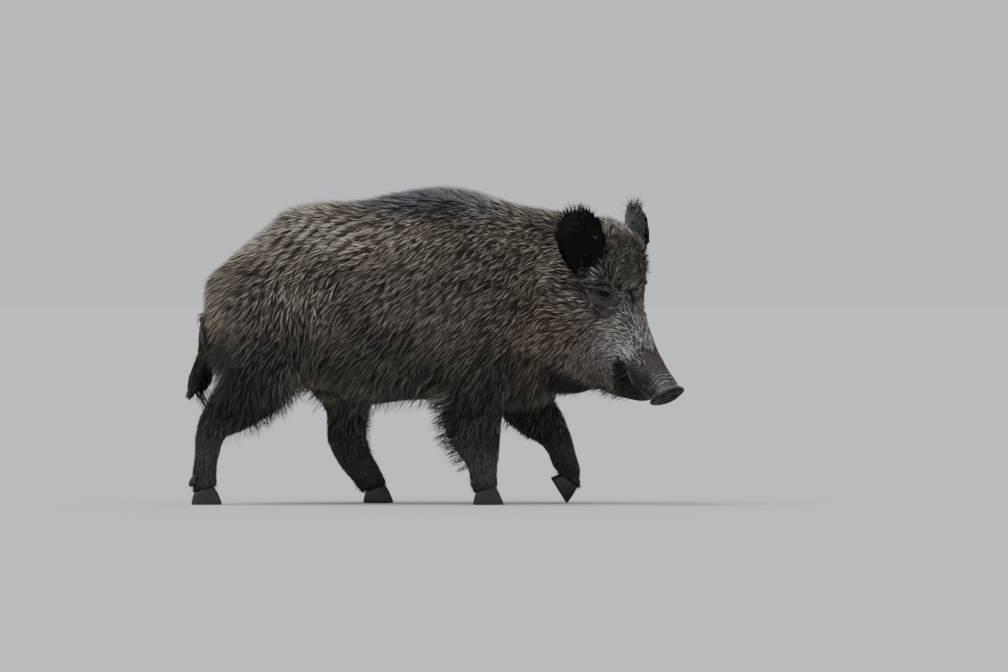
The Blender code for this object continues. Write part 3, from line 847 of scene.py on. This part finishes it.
def body_colour(at):
    """The tip and shaft colours at each place."""
    x, z = at.x, at.z
    neck = ramp(x, 0.12, 0.24)
    off_head = 1 - at.head
    tint = layered(
        np.tile(FLANK, (len(x), 1, 1)),
        # Partly painted light: the rump's rear edge and the top of the back are painted paler, partly the
        # coat's own colour and partly light from above.
        (RUMP * (1.04, 1.0, 0.92), 0.9 * fall(x, -0.54, -0.4) * ramp(z, 0.34, 0.44)),
        (RUMP, ramp(z, 0.5, 0.6) * fall(x, -0.25, 0.18)),
        (FLANK * 0.88, 0.8 * ramp(x, 0.1, 0.24) * off_head),
        (MANE, ramp(z, 0.59, 0.655) * bump(x, -0.02, 0.22)),
        (RUDDY, 0.55 * ramp(x, 0.12, 0.22) * (1 - 0.7 * ramp(z, 0.42, 0.52))),
        # Partly painted shade: the belly is painted darker, partly its own dark hair and partly shade
        # underneath.
        (BELLY, fall(z + 0.09 * neck, 0.26, 0.47)),
    )
    # Painted light and shade: the furrows' ridges are painted paler and their troughs darker.
    tint = tint * (1 + 0.3 * furrows(at))[:, None, None]
    leg = fall(z + 0.1 * ramp(x, -0.35, -0.25), 0.27, 0.41) * off_head
    leg = leg * (1 - 0.9 * neck) * (1 - 0.8 * bump(x, -0.17, 0.14))
    # Painted light: the forelegs' hair is painted lighter, to lift the shade they stand in.
    fore = LEG * (1 + 0.4 * ramp(x, -0.05, 0.02))[:, None, None]
    fold = bump(x, -0.24, 0.07) * bump(z, 0.27, 0.05) * ramp(-at.y, 0.03, 0.08)
    tint = layered(
        tint,
        (LEG * 0.4, leg),
        (fore, fall(z, 0.1, 0.22) * off_head),
        (FLANK_FOLD, 0.8 * fold),
        (face_colour(at), at.head),
        (BLACK, 0.7 * at.tail * ramp(x, -0.52, -0.49)),
        (TAIL, at.tail * fall(x, -0.53, -0.5)),
        (BLACK, np.maximum(at.ear, at.bowl)),
        (EAR_BACK, at.ear_back * np.where(at.across > 0, 0.9, 0.0)),
    )
    return tint * (1 + 0.16 * at.drift(0.1, 1))[:, None, None]


def face_colour(at):
    ahead, out, up = at.side.T
    tint = layered(
        np.tile(CHEEK, (len(up), 1, 1)),
        (GRIZZLE, ramp(ahead, -0.24, -0.15) * ramp(up, -0.075, -0.03)),
        (CHEEK * 0.8, ramp(up, 0.085, 0.115) * fall(ahead, -0.2, -0.15)),
    )
    tint = tint * (1 + 0.45 * at.spot((-128, 40, 6), (45, 60, 30)))[:, None, None]
    shadow = np.maximum(beside_eye(at, -38, 15, 22, 12), beside_eye(at, 2, 20, 20, 7))
    # Painted shadow: the chin under the lower lip.
    chin_shade = fall(over_lip(at), -0.012, 0.002) * ramp(ahead + 0.3 * np.minimum(up + 0.05, 0), -0.128, -0.112)
    return layered(
        tint,
        (RUDDY, 0.8 * at.spot((-260, 100, -50), (60, 60, 60))),
        # Painted shade: the hair in the hollow behind and above each eye is painted dark.
        (HOLLOW_SHADE, 0.85 * shadow),
        # Painted shadow: the underside of the jaw, and below the skin the chin, are painted dark.
        (JAW_SHADE, fall(up + 0.25 * ahead, -0.175, -0.14)),
        (skin_colour(at), bare_share(at)),
        (JAW_SHADE, chin_shade * fall(ahead, -0.03, -0.02)),
        # Painted shade: the mouth's line and the pocket below its corner are painted black.
        (BLACK, np.clip(mouth_line(at) + mouth_pit(at), 0, 1)),
        # Painted shade: the nostrils are painted black inside.
        (BLACK, nostril_share(at)),
    )


def skin_colour(at):
    """Of the face's bare skin: round the eyes, on the lips, the muzzle's end and the disc."""
    ahead, out, up = at.side.T
    lips = lip_share(at)
    folds = ramp(bridge_wrinkles(at) + 0.35 * at.drift(0.007, 3), 0.15, 0.7)
    plates = at.spot((-8, 24, 16), (14, 16, 14))
    depth, disc_across, disc_up = on_disc(at.own)
    reach = np.hypot(disc_across, disc_up) / DISC_RADIUS
    return layered(
        np.tile(EYE_SKIN, (len(up), 1, 1)),
        (EYE_REAR, 0.8 * beside_eye(at, -28, -12, 18, 15)),
        # Painted shade: the crease over each eye, the eye's rear corner and a hollow ahead of it are
        # painted dark.
        (HOLLOW_SHADE, 0.9 * beside_eye(at, -2, 20.5, 24, 5.5)),
        (HOLLOW_SHADE, 0.7 * beside_eye(at, -18.5, 2, 4, 3)),
        (HOLLOW_SHADE, 0.6 * beside_eye(at, 40, -32, 14, 6)),
        (PALE_LID, 0.9 * beside_eye(at, -1.5, 13, 14, 3.4)),
        (PALE_LID, 0.7 * beside_eye(at, 20.7, -16, 2.2, 7)),
        (BLACK, fall(eye_gap(at.points), 0.0007, 0.002)),
        (BARE, lips),
        (DARK_SKIN, lips * ramp(out, 0.016, 0.028) * fall(up, 0.01, 0.026)),
        (RAW, 0.85 * at.spot((-62, 8, 34), (20, 18, 16))),
        (LIP, 0.8 * ramp(lip_ridges(at), 0.1, 0.7)),
        (WRINKLE * 0.6, 0.7 * lip_edge(at)),
        (WRINKLE, 0.8 * folds * ramp(ahead, -0.042, -0.03)),
        (RIM, 0.9 * plates * (0.7 + 0.5 * at.drift(0.009, 1))),
        (RIM, ramp(depth, -0.014, -0.009) * (0.7 + 0.3 * at.drift(0.01))),
        (DISC, ramp(depth, -0.0055, -0.002) * (1 - 0.6 * ramp(reach, 0.99, 1.05))),
    )


# ---- Tufts ----

ROOT_DEPTH = 0.0008  # of a tuft's root under the skin
LOCK_PULL = 0.85  # how far a tuft's tip goes to its lock's, at most
SECTION = ((-0.5, 0.0), (0.5, 0.0), (0.0, 0.42))  # corners across and up, for a width of 1
PATCH = 0.003  # of each tuft on the bake's map


# The roots of a set of tufts with all that shapes them, one row each.
Tufts = namedtuple("Tufts", "root normal lie length rise drawn width tip shaft")


def areas(triangles, points):
    a, b, c = (points[triangles[:, k]] for k in range(3))
    return 0.5 * reach_of(np.cross(b - a, c - a))


def scattered(triangles, points, weight, count, rng):
    """Triangle numbers and corner shares of roots spread evenly over the weighted surface."""
    total = np.cumsum(areas(triangles, points) * weight)
    places = (np.arange(count) + rng.random(count)) / count * total[-1]
    chosen = np.searchsorted(total, places)
    r = np.sqrt(rng.random(count))
    s = rng.random(count)
    return chosen, np.stack([1 - r, r * (1 - s), r * s], axis=1)


def followed(tree, places, normals):
    """The places set down on the skin, with the skin's normals there."""
    found = [tree.find_nearest(place)[:2] for place in places.tolist()]
    on_skin, up = np.array(found).transpose(1, 0, 2)
    return on_skin, unit(up + 0.5 * normals)


def grow(tufts, tree, locks, rings):
    """Centre lines of the tufts, as an array of points for each ring from root to tip."""
    lines = [tufts.root - tufts.normal * ROOT_DEPTH]
    for ring in range(1, rings + 1):
        share = ring / rings
        here, up = tufts.root + tufts.lie * (tufts.length * share)[:, None], tufts.normal
        if tree is not None:
            here, up = followed(tree, here, up)
        rise = tufts.rise * math.sin(0.5 * math.pi * share**0.8)
        line = here + up * rise[:, None]
        pull = (LOCK_PULL * share**1.2 * tufts.drawn)[:, None]
        lines.append(line + (line[locks] - line) * pull)
    return lines


def locks_of(roots, lies, clump, stretch, rng):
    """For each tuft the number of the one that leads its lock."""
    count = len(roots)
    if clump < 2:
        return np.arange(count)
    leaders = rng.permutation(count)[: count // clump]
    tree = KDTree(len(leaders))
    for i, k in enumerate(leaders):
        tree.insert(roots[k], i)
    tree.balance()
    close = np.array([[found[1] for found in tree.find_n(root, 9)] for root in roots.tolist()])
    offset = roots[leaders[close]] - roots[:, None, :]
    along = np.sum(offset * lies[:, None, :], axis=2)
    aside = np.sum(offset**2, axis=2) - along**2
    best = np.argmin(aside + (stretch * along) ** 2, axis=1)
    return leaders[close[np.arange(count), best]]


def tuft_mesh(name, tufts, lines, unwrap):
    """One closed, three-sided, tapering spike for each tuft."""
    rings = len(lines) - 1
    rows = []
    for ring, fullness in enumerate(FULLNESS[rings]):
        ahead = unit(lines[ring + 1] - lines[max(ring - 1, 0)])
        across = unit(np.cross(ahead, tufts.normal))
        above = np.cross(across, ahead)
        width = (tufts.width * fullness)[:, None]
        for out, up in SECTION:
            rows.append(lines[ring] + across * width * out + above * width * up)
    points = np.stack(rows + [lines[rings]], axis=1)
    per = points.shape[1]
    pattern = [(0, 2, 1)]
    for ring in range(rings - 1):
        for k in range(3):
            a, b = 3 * ring + k, 3 * ring + (k + 1) % 3
            pattern += [(a, b, b + 3), (a, b + 3, a + 3)]
    last = 3 * (rings - 1)
    pattern += [(last + k, last + (k + 1) % 3, per - 1) for k in range(3)]
    faces = (np.array(pattern) + (np.arange(len(points)) * per)[:, None, None]).reshape(-1, 3)
    piece = new_object(name, points.reshape(-1, 3), faces)
    paint(piece, tuft_tints(tufts, rings))
    add_bake_map(piece, unwrap(tufts.root), rings, faces)
    return piece


def tuft_tints(tufts, rings):
    tints = []
    for ring in range(rings):
        tints += [mix(tufts.shaft, tufts.tip, (ring / rings) ** 1.2 * 0.9)] * 3
    return np.stack(tints + [tufts.tip], axis=1).reshape(-1, 3)


def paint(piece, tints):
    layer = piece.data.color_attributes.new("tint", "FLOAT_COLOR", "POINT")
    rgba = np.ones((len(tints), 4), np.float32)
    rgba[:, :3] = tints
    layer.data.foreach_set("color", rgba.ravel())


def add_bake_map(piece, places, rings, faces):
    """Each tuft is a small patch at its root's place: root to tip one way, side to side the other."""
    patch = [(ring / rings - 0.5, across) for ring in range(rings) for across in (-0.5, 0.5, 0.0)]
    patch = np.array(patch + [(0.5, 0)])
    coordinates = (places[:, None, :] + patch * PATCH).reshape(-1, 2)
    layer = piece.data.uv_layers.new(name="OFBake")
    layer.data.foreach_set("uv", coordinates[faces.ravel()].astype(np.float32).ravel())


# ---- Materials ----


def material_of(name, roughness, *steps):
    """A material; each step is a function that shapes its shader, and what else that takes."""
    material = bpy.data.materials.new(name)
    material.use_nodes = True
    shader = material.node_tree.nodes["Principled BSDF"]
    set_socket(shader, "Roughness", roughness)
    for step, *settings in steps:
        step(shader, *settings)
    return material


def set_socket(shader, socket, value):
    shader.inputs[socket].default_value = value


def node(shader, kind, **settings):
    made = shader.id_data.nodes.new(kind)
    for key, value in settings.items():
        if hasattr(made, key):
            setattr(made, key, value)
        else:
            made.inputs[key.replace("_", " ").title()].default_value = value
    return made


def link(source, target):
    target.id_data.links.new(source, target)


def noise(shader, scale, detail=3.0):
    texture = node(shader, "ShaderNodeTexNoise", Scale=scale, Detail=detail, Roughness=0.55)
    link(node(shader, "ShaderNodeTexCoord").outputs["Object"], texture.inputs["Vector"])
    return texture.outputs["Fac"]


def add_bump(shader, scale, detail, strength, distance):
    relief = node(shader, "ShaderNodeBump", Strength=strength, Distance=distance)
    link(noise(shader, scale, detail), relief.inputs["Height"])
    link(relief.outputs["Normal"], shader.inputs["Normal"])


def tinted(shader, scale, low, high):
    """The piece's own tint, varied by a fine noise."""
    tint = node(shader, "ShaderNodeAttribute", attribute_name="tint")
    spread = node(shader, "ShaderNodeMapRange", To_Min=low, To_Max=high)
    scaled = node(shader, "ShaderNodeVectorMath", operation="SCALE")
    link(noise(shader, scale), spread.inputs["Value"])
    link(tint.outputs["Color"], scaled.inputs[0])
    link(spread.outputs["Result"], scaled.inputs["Scale"])
    link(scaled.outputs["Vector"], shader.inputs["Base Color"])


def shiny_where_pale(shader):
    """Less shine on the dark skin under the hair."""
    tint = node(shader, "ShaderNodeAttribute", attribute_name="tint")
    shine = node(shader, "ShaderNodeMapRange", From_Max=0.03, To_Min=0.08, To_Max=0.4)
    link(tint.outputs["Fac"], shine.inputs["Value"])
    link(shine.outputs["Result"], shader.inputs["Specular IOR Level"])


def mottled(shader, scale, detail, dark, pale):
    base = node(shader, "ShaderNodeValToRGB")
    for element, colour in zip(base.color_ramp.elements, (dark, pale)):
        element.color = colour + (1,)
    link(noise(shader, scale, detail), base.inputs["Fac"])
    link(base.outputs["Color"], shader.inputs["Base Color"])


def hair_material(name, specular):
    shine = (set_socket, "Specular IOR Level", specular)
    return material_of(name, 0.55, shine, (tinted, 400.0, 0.75, 1.25))


# ---- Stage ----

VIEW_DISTANCE = 24.0
VIEW_HEIGHT = 0.6
AIM = (0.1538, 0.365)  # along and up, at the picture's middle
PIXELS_PER_METRE = 460.0
PICTURE_WIDTH = 1008
SENSOR = 36.0
KEY_FALL = (0.35, 0.1, -1.0)  # the way the key light falls
FLOOR_REACH = 60


def aimed(name, data, direction):
    made = linked(name, data)
    made.rotation_mode = "QUATERNION"
    made.rotation_quaternion = direction.to_track_quat("-Z", "Y")
    return made


def add_camera():
    data = bpy.data.cameras.new("camera")
    data.sensor_width = SENSOR
    data.lens = PIXELS_PER_METRE * VIEW_DISTANCE / PICTURE_WIDTH * SENSOR
    data.clip_end = 300
    place = Vector((AIM[0], -VIEW_DISTANCE, VIEW_HEIGHT))
    camera = aimed("camera", data, Vector((AIM[0], MIDLINE, AIM[1])) - place)
    camera.location = place
    bpy.context.scene.camera = camera


def add_light():
    data = bpy.data.lights.new("key", "SUN")
    data.energy = 2.6
    data.angle = math.radians(35)
    aimed("key", data, Vector(KEY_FALL))
    world = bpy.data.worlds.new("studio")
    world.use_nodes = True
    sky = world.node_tree.nodes["Background"]
    sky.inputs["Color"].default_value = (0.95, 0.97, 1.0, 1)
    sky.inputs["Strength"].default_value = 0.75
    bpy.context.scene.world = world


def add_floor():
    corners = [(x * FLOOR_REACH, y * FLOOR_REACH, 0) for x, y in ((-1, -1), (1, -1), (1, 1), (-1, 1))]
    floor = new_object("floor", corners, [(0, 1, 2, 3)])
    colour = (mottled, 3.0, 3.0, (0.475, 0.485, 0.5), (0.49, 0.5, 0.515))
    floor.data.materials.append(material_of("floor", 0.9, colour))


# ---- Hooves and eyes ----

HORN_VOXEL = 0.0016


def add_horn():
    colour = (mottled, 140.0, 5.0, (0.008, 0.007, 0.006), (0.03, 0.026, 0.022))
    material = material_of("horn", 0.42, colour, (add_bump, 320.0, 3.0, 0.35, 0.0006))
    for name in sorted(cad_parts):
        if name.startswith(HORN):
            piece = remeshed(gathered(name + "_horn", [name]), HORN_VOXEL)
            piece.data.shade_smooth()
            piece.data.materials.append(material)
            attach(piece, "root")
            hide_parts(name)


def add_eyes():
    colour = (set_socket, "Base Color", (0.006, 0.004, 0.003, 1))
    shine = ((set_socket, "IOR", 1.28), (set_socket, "Specular IOR Level", 0.3))
    material = material_of("eyeball", 0.04, colour, *shine, (add_bump, 60.0, 2.0, 0.03, 0.0003))
    for word, _ in SIDES:
        bm = bmesh.new()
        place = Matrix.Translation(middle_of("eye_" + word))
        bmesh.ops.create_uvsphere(bm, u_segments=48, v_segments=24, radius=EYE_RADIUS, matrix=place)
        mesh = bpy.data.meshes.new("eyeball_" + word)
        bm.to_mesh(mesh)
        mesh.shade_smooth()
        mesh.materials.append(material)
        eye = linked("eyeball_" + word, mesh)
        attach(eye, "root")
        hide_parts("eye_" + word)


# ---- Coat ----

BODY_TUFTS = 150000
UNDER_TUFTS = 40000
HEAD_TUFTS = 45000
LEG_TUFTS = 4000
EAR_TUFTS = 9000
TAIL_TUFTS = 3500
DOWN_TUFTS = 3500
CUFF_TUFTS = 1600
EDGE_TUFTS = 3000
FURROW_LIFT = 0.45  # how much higher the locks on the furrows' ridges stand, and so how much paler they are painted: painted light on the ridges
MAP_MARGIN = 0.01
GUARD_SHARE = 0.06  # of the tufts, single long bristles that stand out
FULLNESS = {1: (1.0,), 2: (0.85, 1.0)}  # of each ring of a tuft


def on_map(along, turn):
    """Places on a piece's map for the bake, from shares along its axis and round it."""
    return np.clip(np.stack([along, turn], axis=1), 0, 1) * (1 - 2 * MAP_MARGIN) + MAP_MARGIN


def body_map(low, high):
    """Unwraps the trunk: along its length, and around its long axis."""

    def unwrap(places):
        turn = np.arctan2(np.abs(places[:, 1] - MIDLINE), places[:, 2] - BARREL_LEVEL) / math.pi
        return on_map((places[:, 0] - low) / (high - low), turn)

    return unwrap


def head_map(places):
    ahead, across, up = in_head(places).T
    return on_map((ahead + 0.45) / 0.46, np.arctan2(across, up - 0.01) / TURN + 0.5)


def leg_map(middle):
    def unwrap(places):
        x, y, z = places.T
        return on_map(z / 0.36, np.arctan2(y - middle.y, x - middle.x) / TURN + 0.5)

    return unwrap


def flat_map(places):
    low, high = places.min(axis=0), places.max(axis=0)
    x, y, z = ((places - low) / (high - low)).T
    return on_map(z, 0.5 * x + 0.5 * y)


class Style(NamedTuple):
    """How a stretch of coat looks: None takes what the place on the body gives."""

    width: float
    clump: int = 1  # tufts to a lock
    rings: int = 1  # of a tuft, below its tip
    lie: tuple = None
    length: float = None
    shade: np.ndarray = None
    stand: float = 1.0
    spread: float = 0.09
    light: tuple = (0.22, 2.1)  # brightness of the tips of the lowest and the topmost locks: beside a random tone, the lower locks are painted darker as shade under the higher ones
    pale: float = 0.0  # how far the topmost locks are pale down to their roots
    stretch: float = 0.33  # how little distance along the hair counts, beside distance across, in a lock


class Coat:
    """Grows the coat's pieces on the finished skin."""

    def __init__(self, skin, at, tints):
        dark = hair_material("dark_bristle", 0.15)
        self.materials = {"coat": hair_material("bristle", 0.35), "dark_coat": dark}
        self.points = at.points
        self.triangles = triangles_of(skin)
        self.areas = areas(self.triangles, self.points)
        self.tree = tree_of(skin)
        self.normals = normals_of(skin)
        self.at = at
        self.tints = tints
        self.lie = lie_of_hair(at, self.normals)
        self.length = hair_length(at)
        self.depth = coat_depth(at)
        self.standing = standing(at)
        self.furrows = furrows(at) * (1 - at.head)

    def extent(self, weight):
        """The skin's area, each part of it counted as often as its weight says."""
        return float(np.sum(self.areas * weight[self.triangles].mean(axis=1)))

    def add(self, name, weight, count, slot, seed, unwrap, style):
        rng = np.random.default_rng(SEED + seed)
        share = weight[self.triangles].mean(axis=1)
        chosen, shares = scattered(self.triangles, self.points, share, count, rng)

        def pick(values):
            corners = values[self.triangles[chosen]]
            return (corners * shares.reshape(shares.shape + (1,) * (corners.ndim - 2))).sum(axis=1)

        root = pick(self.points)
        normal = unit(pick(self.normals))
        lie = pick(self.lie) if style.lie is None else np.tile(unit(np.array(style.lie)), (count, 1))
        lie = unit(lie + rng.normal(0, style.spread, (count, 3)))
        if style.lie is None:
            lie = along_surface(lie, normal)
        locks = locks_of(root, lie, style.clump, style.stretch, rng)
        level = np.clip(rng.random(count)[locks] + FURROW_LIFT * pick(self.furrows), 0, 1)
        guard = rng.random(count) < GUARD_SHARE
        length = pick(self.length) if style.length is None else style.length
        length = length * rng.uniform(0.75, 1.2, count) * (1 + 0.2 * guard)
        tip, shaft = pick(self.tints).transpose(1, 0, 2) if style.shade is None else style.shade
        tip, shaft = lit(tip, shaft, level, style, rng)
        rise = pick(self.depth) * (0.42 + 0.62 * level) * rng.uniform(0.85, 1.15, count)
        rise = rise * style.stand * (1 + 0.3 * guard) * (1 + pick(self.standing))
        girth = style.width * rng.uniform(0.75, 1.2, count) * (1 - 0.45 * guard) * (0.75 + 0.5 * level)
        tufts = Tufts(root, normal, lie, length, rise, 0.35 + 0.65 * level, girth, tip, shaft)
        follow = style.rings > 1 and style.lie is None
        lines = grow(tufts, self.tree if follow else None, locks, style.rings)
        piece = tuft_mesh(name, tufts, lines, unwrap)
        piece.data.materials.append(self.materials[slot])
        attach(piece, "root")


def lit(tip, shaft, level, style, rng):
    """Colours of each tuft's tip and shaft: the topmost locks are the palest, and the lower ones are
    painted darker as shade under them.
    """
    light = mix(style.light[0], style.light[1], level**1.6) * np.exp(rng.normal(0, 0.25, len(level)))
    tip = np.clip(tip * light[:, None], 0, 1)
    shaft = shaft * np.exp(rng.normal(0, 0.2, len(level)))[:, None]
    return tip, mix(shaft, tip, style.pale * level**2)


def add_trunk_coat(coat):
    """A top coat and an under coat, in four stretches on each side."""
    at = coat.at
    top = Style(0.0017, 3, light=(0.1, 2.55), pale=0.5, spread=0.12, stretch=0.42)
    under = Style(0.0032, length=0.03, stand=0.6, light=(0.12, 0.5), spread=0.16)
    body = fall(at.head, 0.4, 0.6) * (at.tail < 0.5) * (at.shank < 0.5)
    ends = (RUMP_END - 0.02, -0.3, -0.05, 0.19, 0.45)
    for word, side in SIDES:
        for k, (start, end) in enumerate(zip(ends, ends[1:])):
            here = body * (np.sign(at.y) == side) * (at.x >= start) * (at.x < end)
            area = coat.extent(here) / coat.extent(body)
            layers = (("coat", BODY_TUFTS, 10, top), ("undercoat", UNDER_TUFTS, 20, under))
            for layer, tufts, seed, style in layers:
                name = f"{layer}_{word}_{k + 1}"
                coat.add(name, here, int(tufts * area), "coat", seed + k, body_map(start, end), style)


def add_head_coat(coat):
    at = coat.at
    strong = Style(0.0011, 3, 2, light=(0.14, 2.3), stretch=0.22)
    head = ramp(at.head, 0.4, 0.6) * (at.ear < 0.5) * (1 - at.snout)
    for word, side in SIDES:
        here = head * (np.sign(at.across) == side) * (1 - 0.9 * bare_share(at))
        here = here * (0.6 + 1.2 * ramp(at.ahead, -0.3, -0.15))
        here = here * ramp(eye_gap(at.points), 0.004, 0.01)
        rear = at.ahead < -0.24
        for part, share in (("nape", here * rear), ("face", here * ~rear)):
            count = int(HEAD_TUFTS / 2 * coat.extent(share) / coat.extent(here))
            coat.add(f"coat_{part}_{word}", share, count, "coat", 30, head_map, strong)


def add_leg_coat(coat):
    at = coat.at
    for leg in LEGS:
        middle = middle_of(leg + "_lower")
        here = (at.shank >= 0.5) * (np.abs(at.x - middle.x) < 0.13)
        here = here * (np.sign(at.y) == np.sign(middle.y - MIDLINE))
        coat.add("coat_" + leg, here, LEG_TUFTS, "dark_coat", 40, leg_map(middle), Style(0.0018))
    cuffs = at.foot * (at.z < 0.095) * ramp(at.z, 0.034, 0.04)
    cuff = Style(0.0012, lie=(0, 0, -1), length=0.013, stand=3.0, spread=0.2, shade=LEG, light=(0.15, 0.8))
    coat.add("coat_cuffs", cuffs, CUFF_TUFTS, "dark_coat", 45, flat_map, cuff)


def add_ear_and_tail_coat(coat):
    at = coat.at
    down = bare_share(at) * (eye_gap(at.points) > 0.0028) * (at.ahead < -0.03)
    ears = (at.ear >= 0.5) * 1.0
    tail = (at.tail >= 0.5) * 1.0
    fuzz = Style(0.0006, length=0.0055, stand=0.8, spread=0.25, light=(0.7, 1.9))
    edging = Style(0.0009, length=0.008, spread=0.26, stand=1.2)
    bushy = Style(0.0018, 3, 2, spread=0.17, stand=2.0)
    coat.add("coat_down", down, DOWN_TUFTS, "coat", 65, head_map, fuzz)
    coat.add("coat_ears", ears, EAR_TUFTS, "dark_coat", 50, flat_map, Style(0.0014))
    coat.add("coat_ear_edges", at.ear_rim, EDGE_TUFTS, "dark_coat", 55, flat_map, edging)
    coat.add("coat_tail", tail, TAIL_TUFTS, "dark_coat", 60, flat_map, bushy)


def add_fringes(coat):
    """Long hairs that hang or stand clear of the outline."""
    at = coat.at
    x, z, ahead = at.x, at.z, at.ahead
    under = ramp(-coat.normals[:, 2], 0.2, 0.6)
    behind = ramp(-coat.normals[:, 0], 0.2, 0.6)
    before = ramp(coat.normals[:, 0], 0.2, 0.6)
    throat = at.head * under * band(ahead, -0.42, -0.38, -0.1, -0.06)
    belly = under * band(x, -0.36, -0.33, 0.02, 0.05) * ramp(z, 0.2, 0.22)
    chest = under * band(x, 0.05, 0.08, 0.24, 0.28) * ramp(z, 0.17, 0.2)
    thigh = before * bump(x, -0.37, 0.12) * band(z, 0.14, 0.18, 0.28, 0.32)
    elbow = behind * bump(x, 0.05, 0.08) * band(z, 0.07, 0.1, 0.24, 0.28)
    gaskin = before * bump(x, -0.12, 0.07) * band(z, 0.1, 0.13, 0.24, 0.28)
    breech = behind * fall(x, -0.47, -0.42) * band(z, 0.22, 0.26, 0.33, 0.37) * (1 - at.tail)
    top = at.head * ramp(at.up, 0.095, 0.125) * (at.bowl < 0.3) * (at.ear < 0.3)
    top = top * ramp(ahead, -0.42, -0.36)
    crown = top * fall(ahead, -0.33, -0.28)
    brow = top * ramp(ahead, -0.34, -0.3)
    fringe = Style(0.001, 3, 2, shade=FRINGE, spread=0.2, light=(0.15, 1.0))
    thin = fringe._replace(width=0.0009)
    crest = Style(0.0008, 3, 2, shade=CREAM, spread=0.24, light=(0.15, 1.0))
    kinds = (
        ("throat", throat, 1700, fringe, from_head((-0.55, 0, -0.85)), 0.034),
        ("belly", belly, 1000, fringe, (-0.6, 0, -0.8), 0.038),
        ("chest", chest, 800, fringe, (-0.35, 0, -0.95), 0.038),
        ("thigh", thigh, 600, thin, (0.15, 0, -1.0), 0.032),
        ("elbow", elbow, 700, thin, (-0.92, 0, -0.4), 0.036),
        ("gaskin", gaskin, 400, thin, (0.65, 0, -0.75), 0.018),
        ("crown", crown, 1300, crest._replace(stand=0.45), from_head((-0.25, 0, 0.97)), 0.011),
        ("brow", brow, 1600, crest, from_head((0.34, 0, 0.94)), 0.017),
        ("breech", breech, 900, fringe._replace(width=0.0012, light=(0.1, 0.3)), (-0.48, 0, -0.88), 0.042),
    )
    for k, (part, weight, count, style, lie, length) in enumerate(kinds):
        style = style._replace(lie=lie, length=length)
        coat.add("coat_" + part, weight, count, "coat", 70 + k, flat_map, style)


SKIN_LIGHT = 0.08  # how far the skin's tint goes from the hair's shafts to its tips


def main():
    add_camera()
    add_light()
    add_floor()
    skin = build_skin()
    add_lids(skin)
    at = Zones(points_of(skin), normals_of(skin))
    tints = body_colour(at)
    paint(skin, mix(tints[:, 1], tints[:, 0], SKIN_LIGHT))
    skin.data.shade_smooth()
    looks = ((tinted, 260.0, 0.6, 1.3), (shiny_where_pale,), (add_bump, 900.0, 4.0, 0.5, 0.0006))
    skin.data.materials.append(material_of("hide", 0.62, *looks))
    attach(skin, "root")
    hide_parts(*FLESH)
    add_eyes()
    add_horn()
    coat = Coat(skin, at, tints)
    for add_coat in (add_trunk_coat, add_head_coat, add_leg_coat, add_ear_and_tail_coat, add_fringes):
        add_coat(coat)


main()
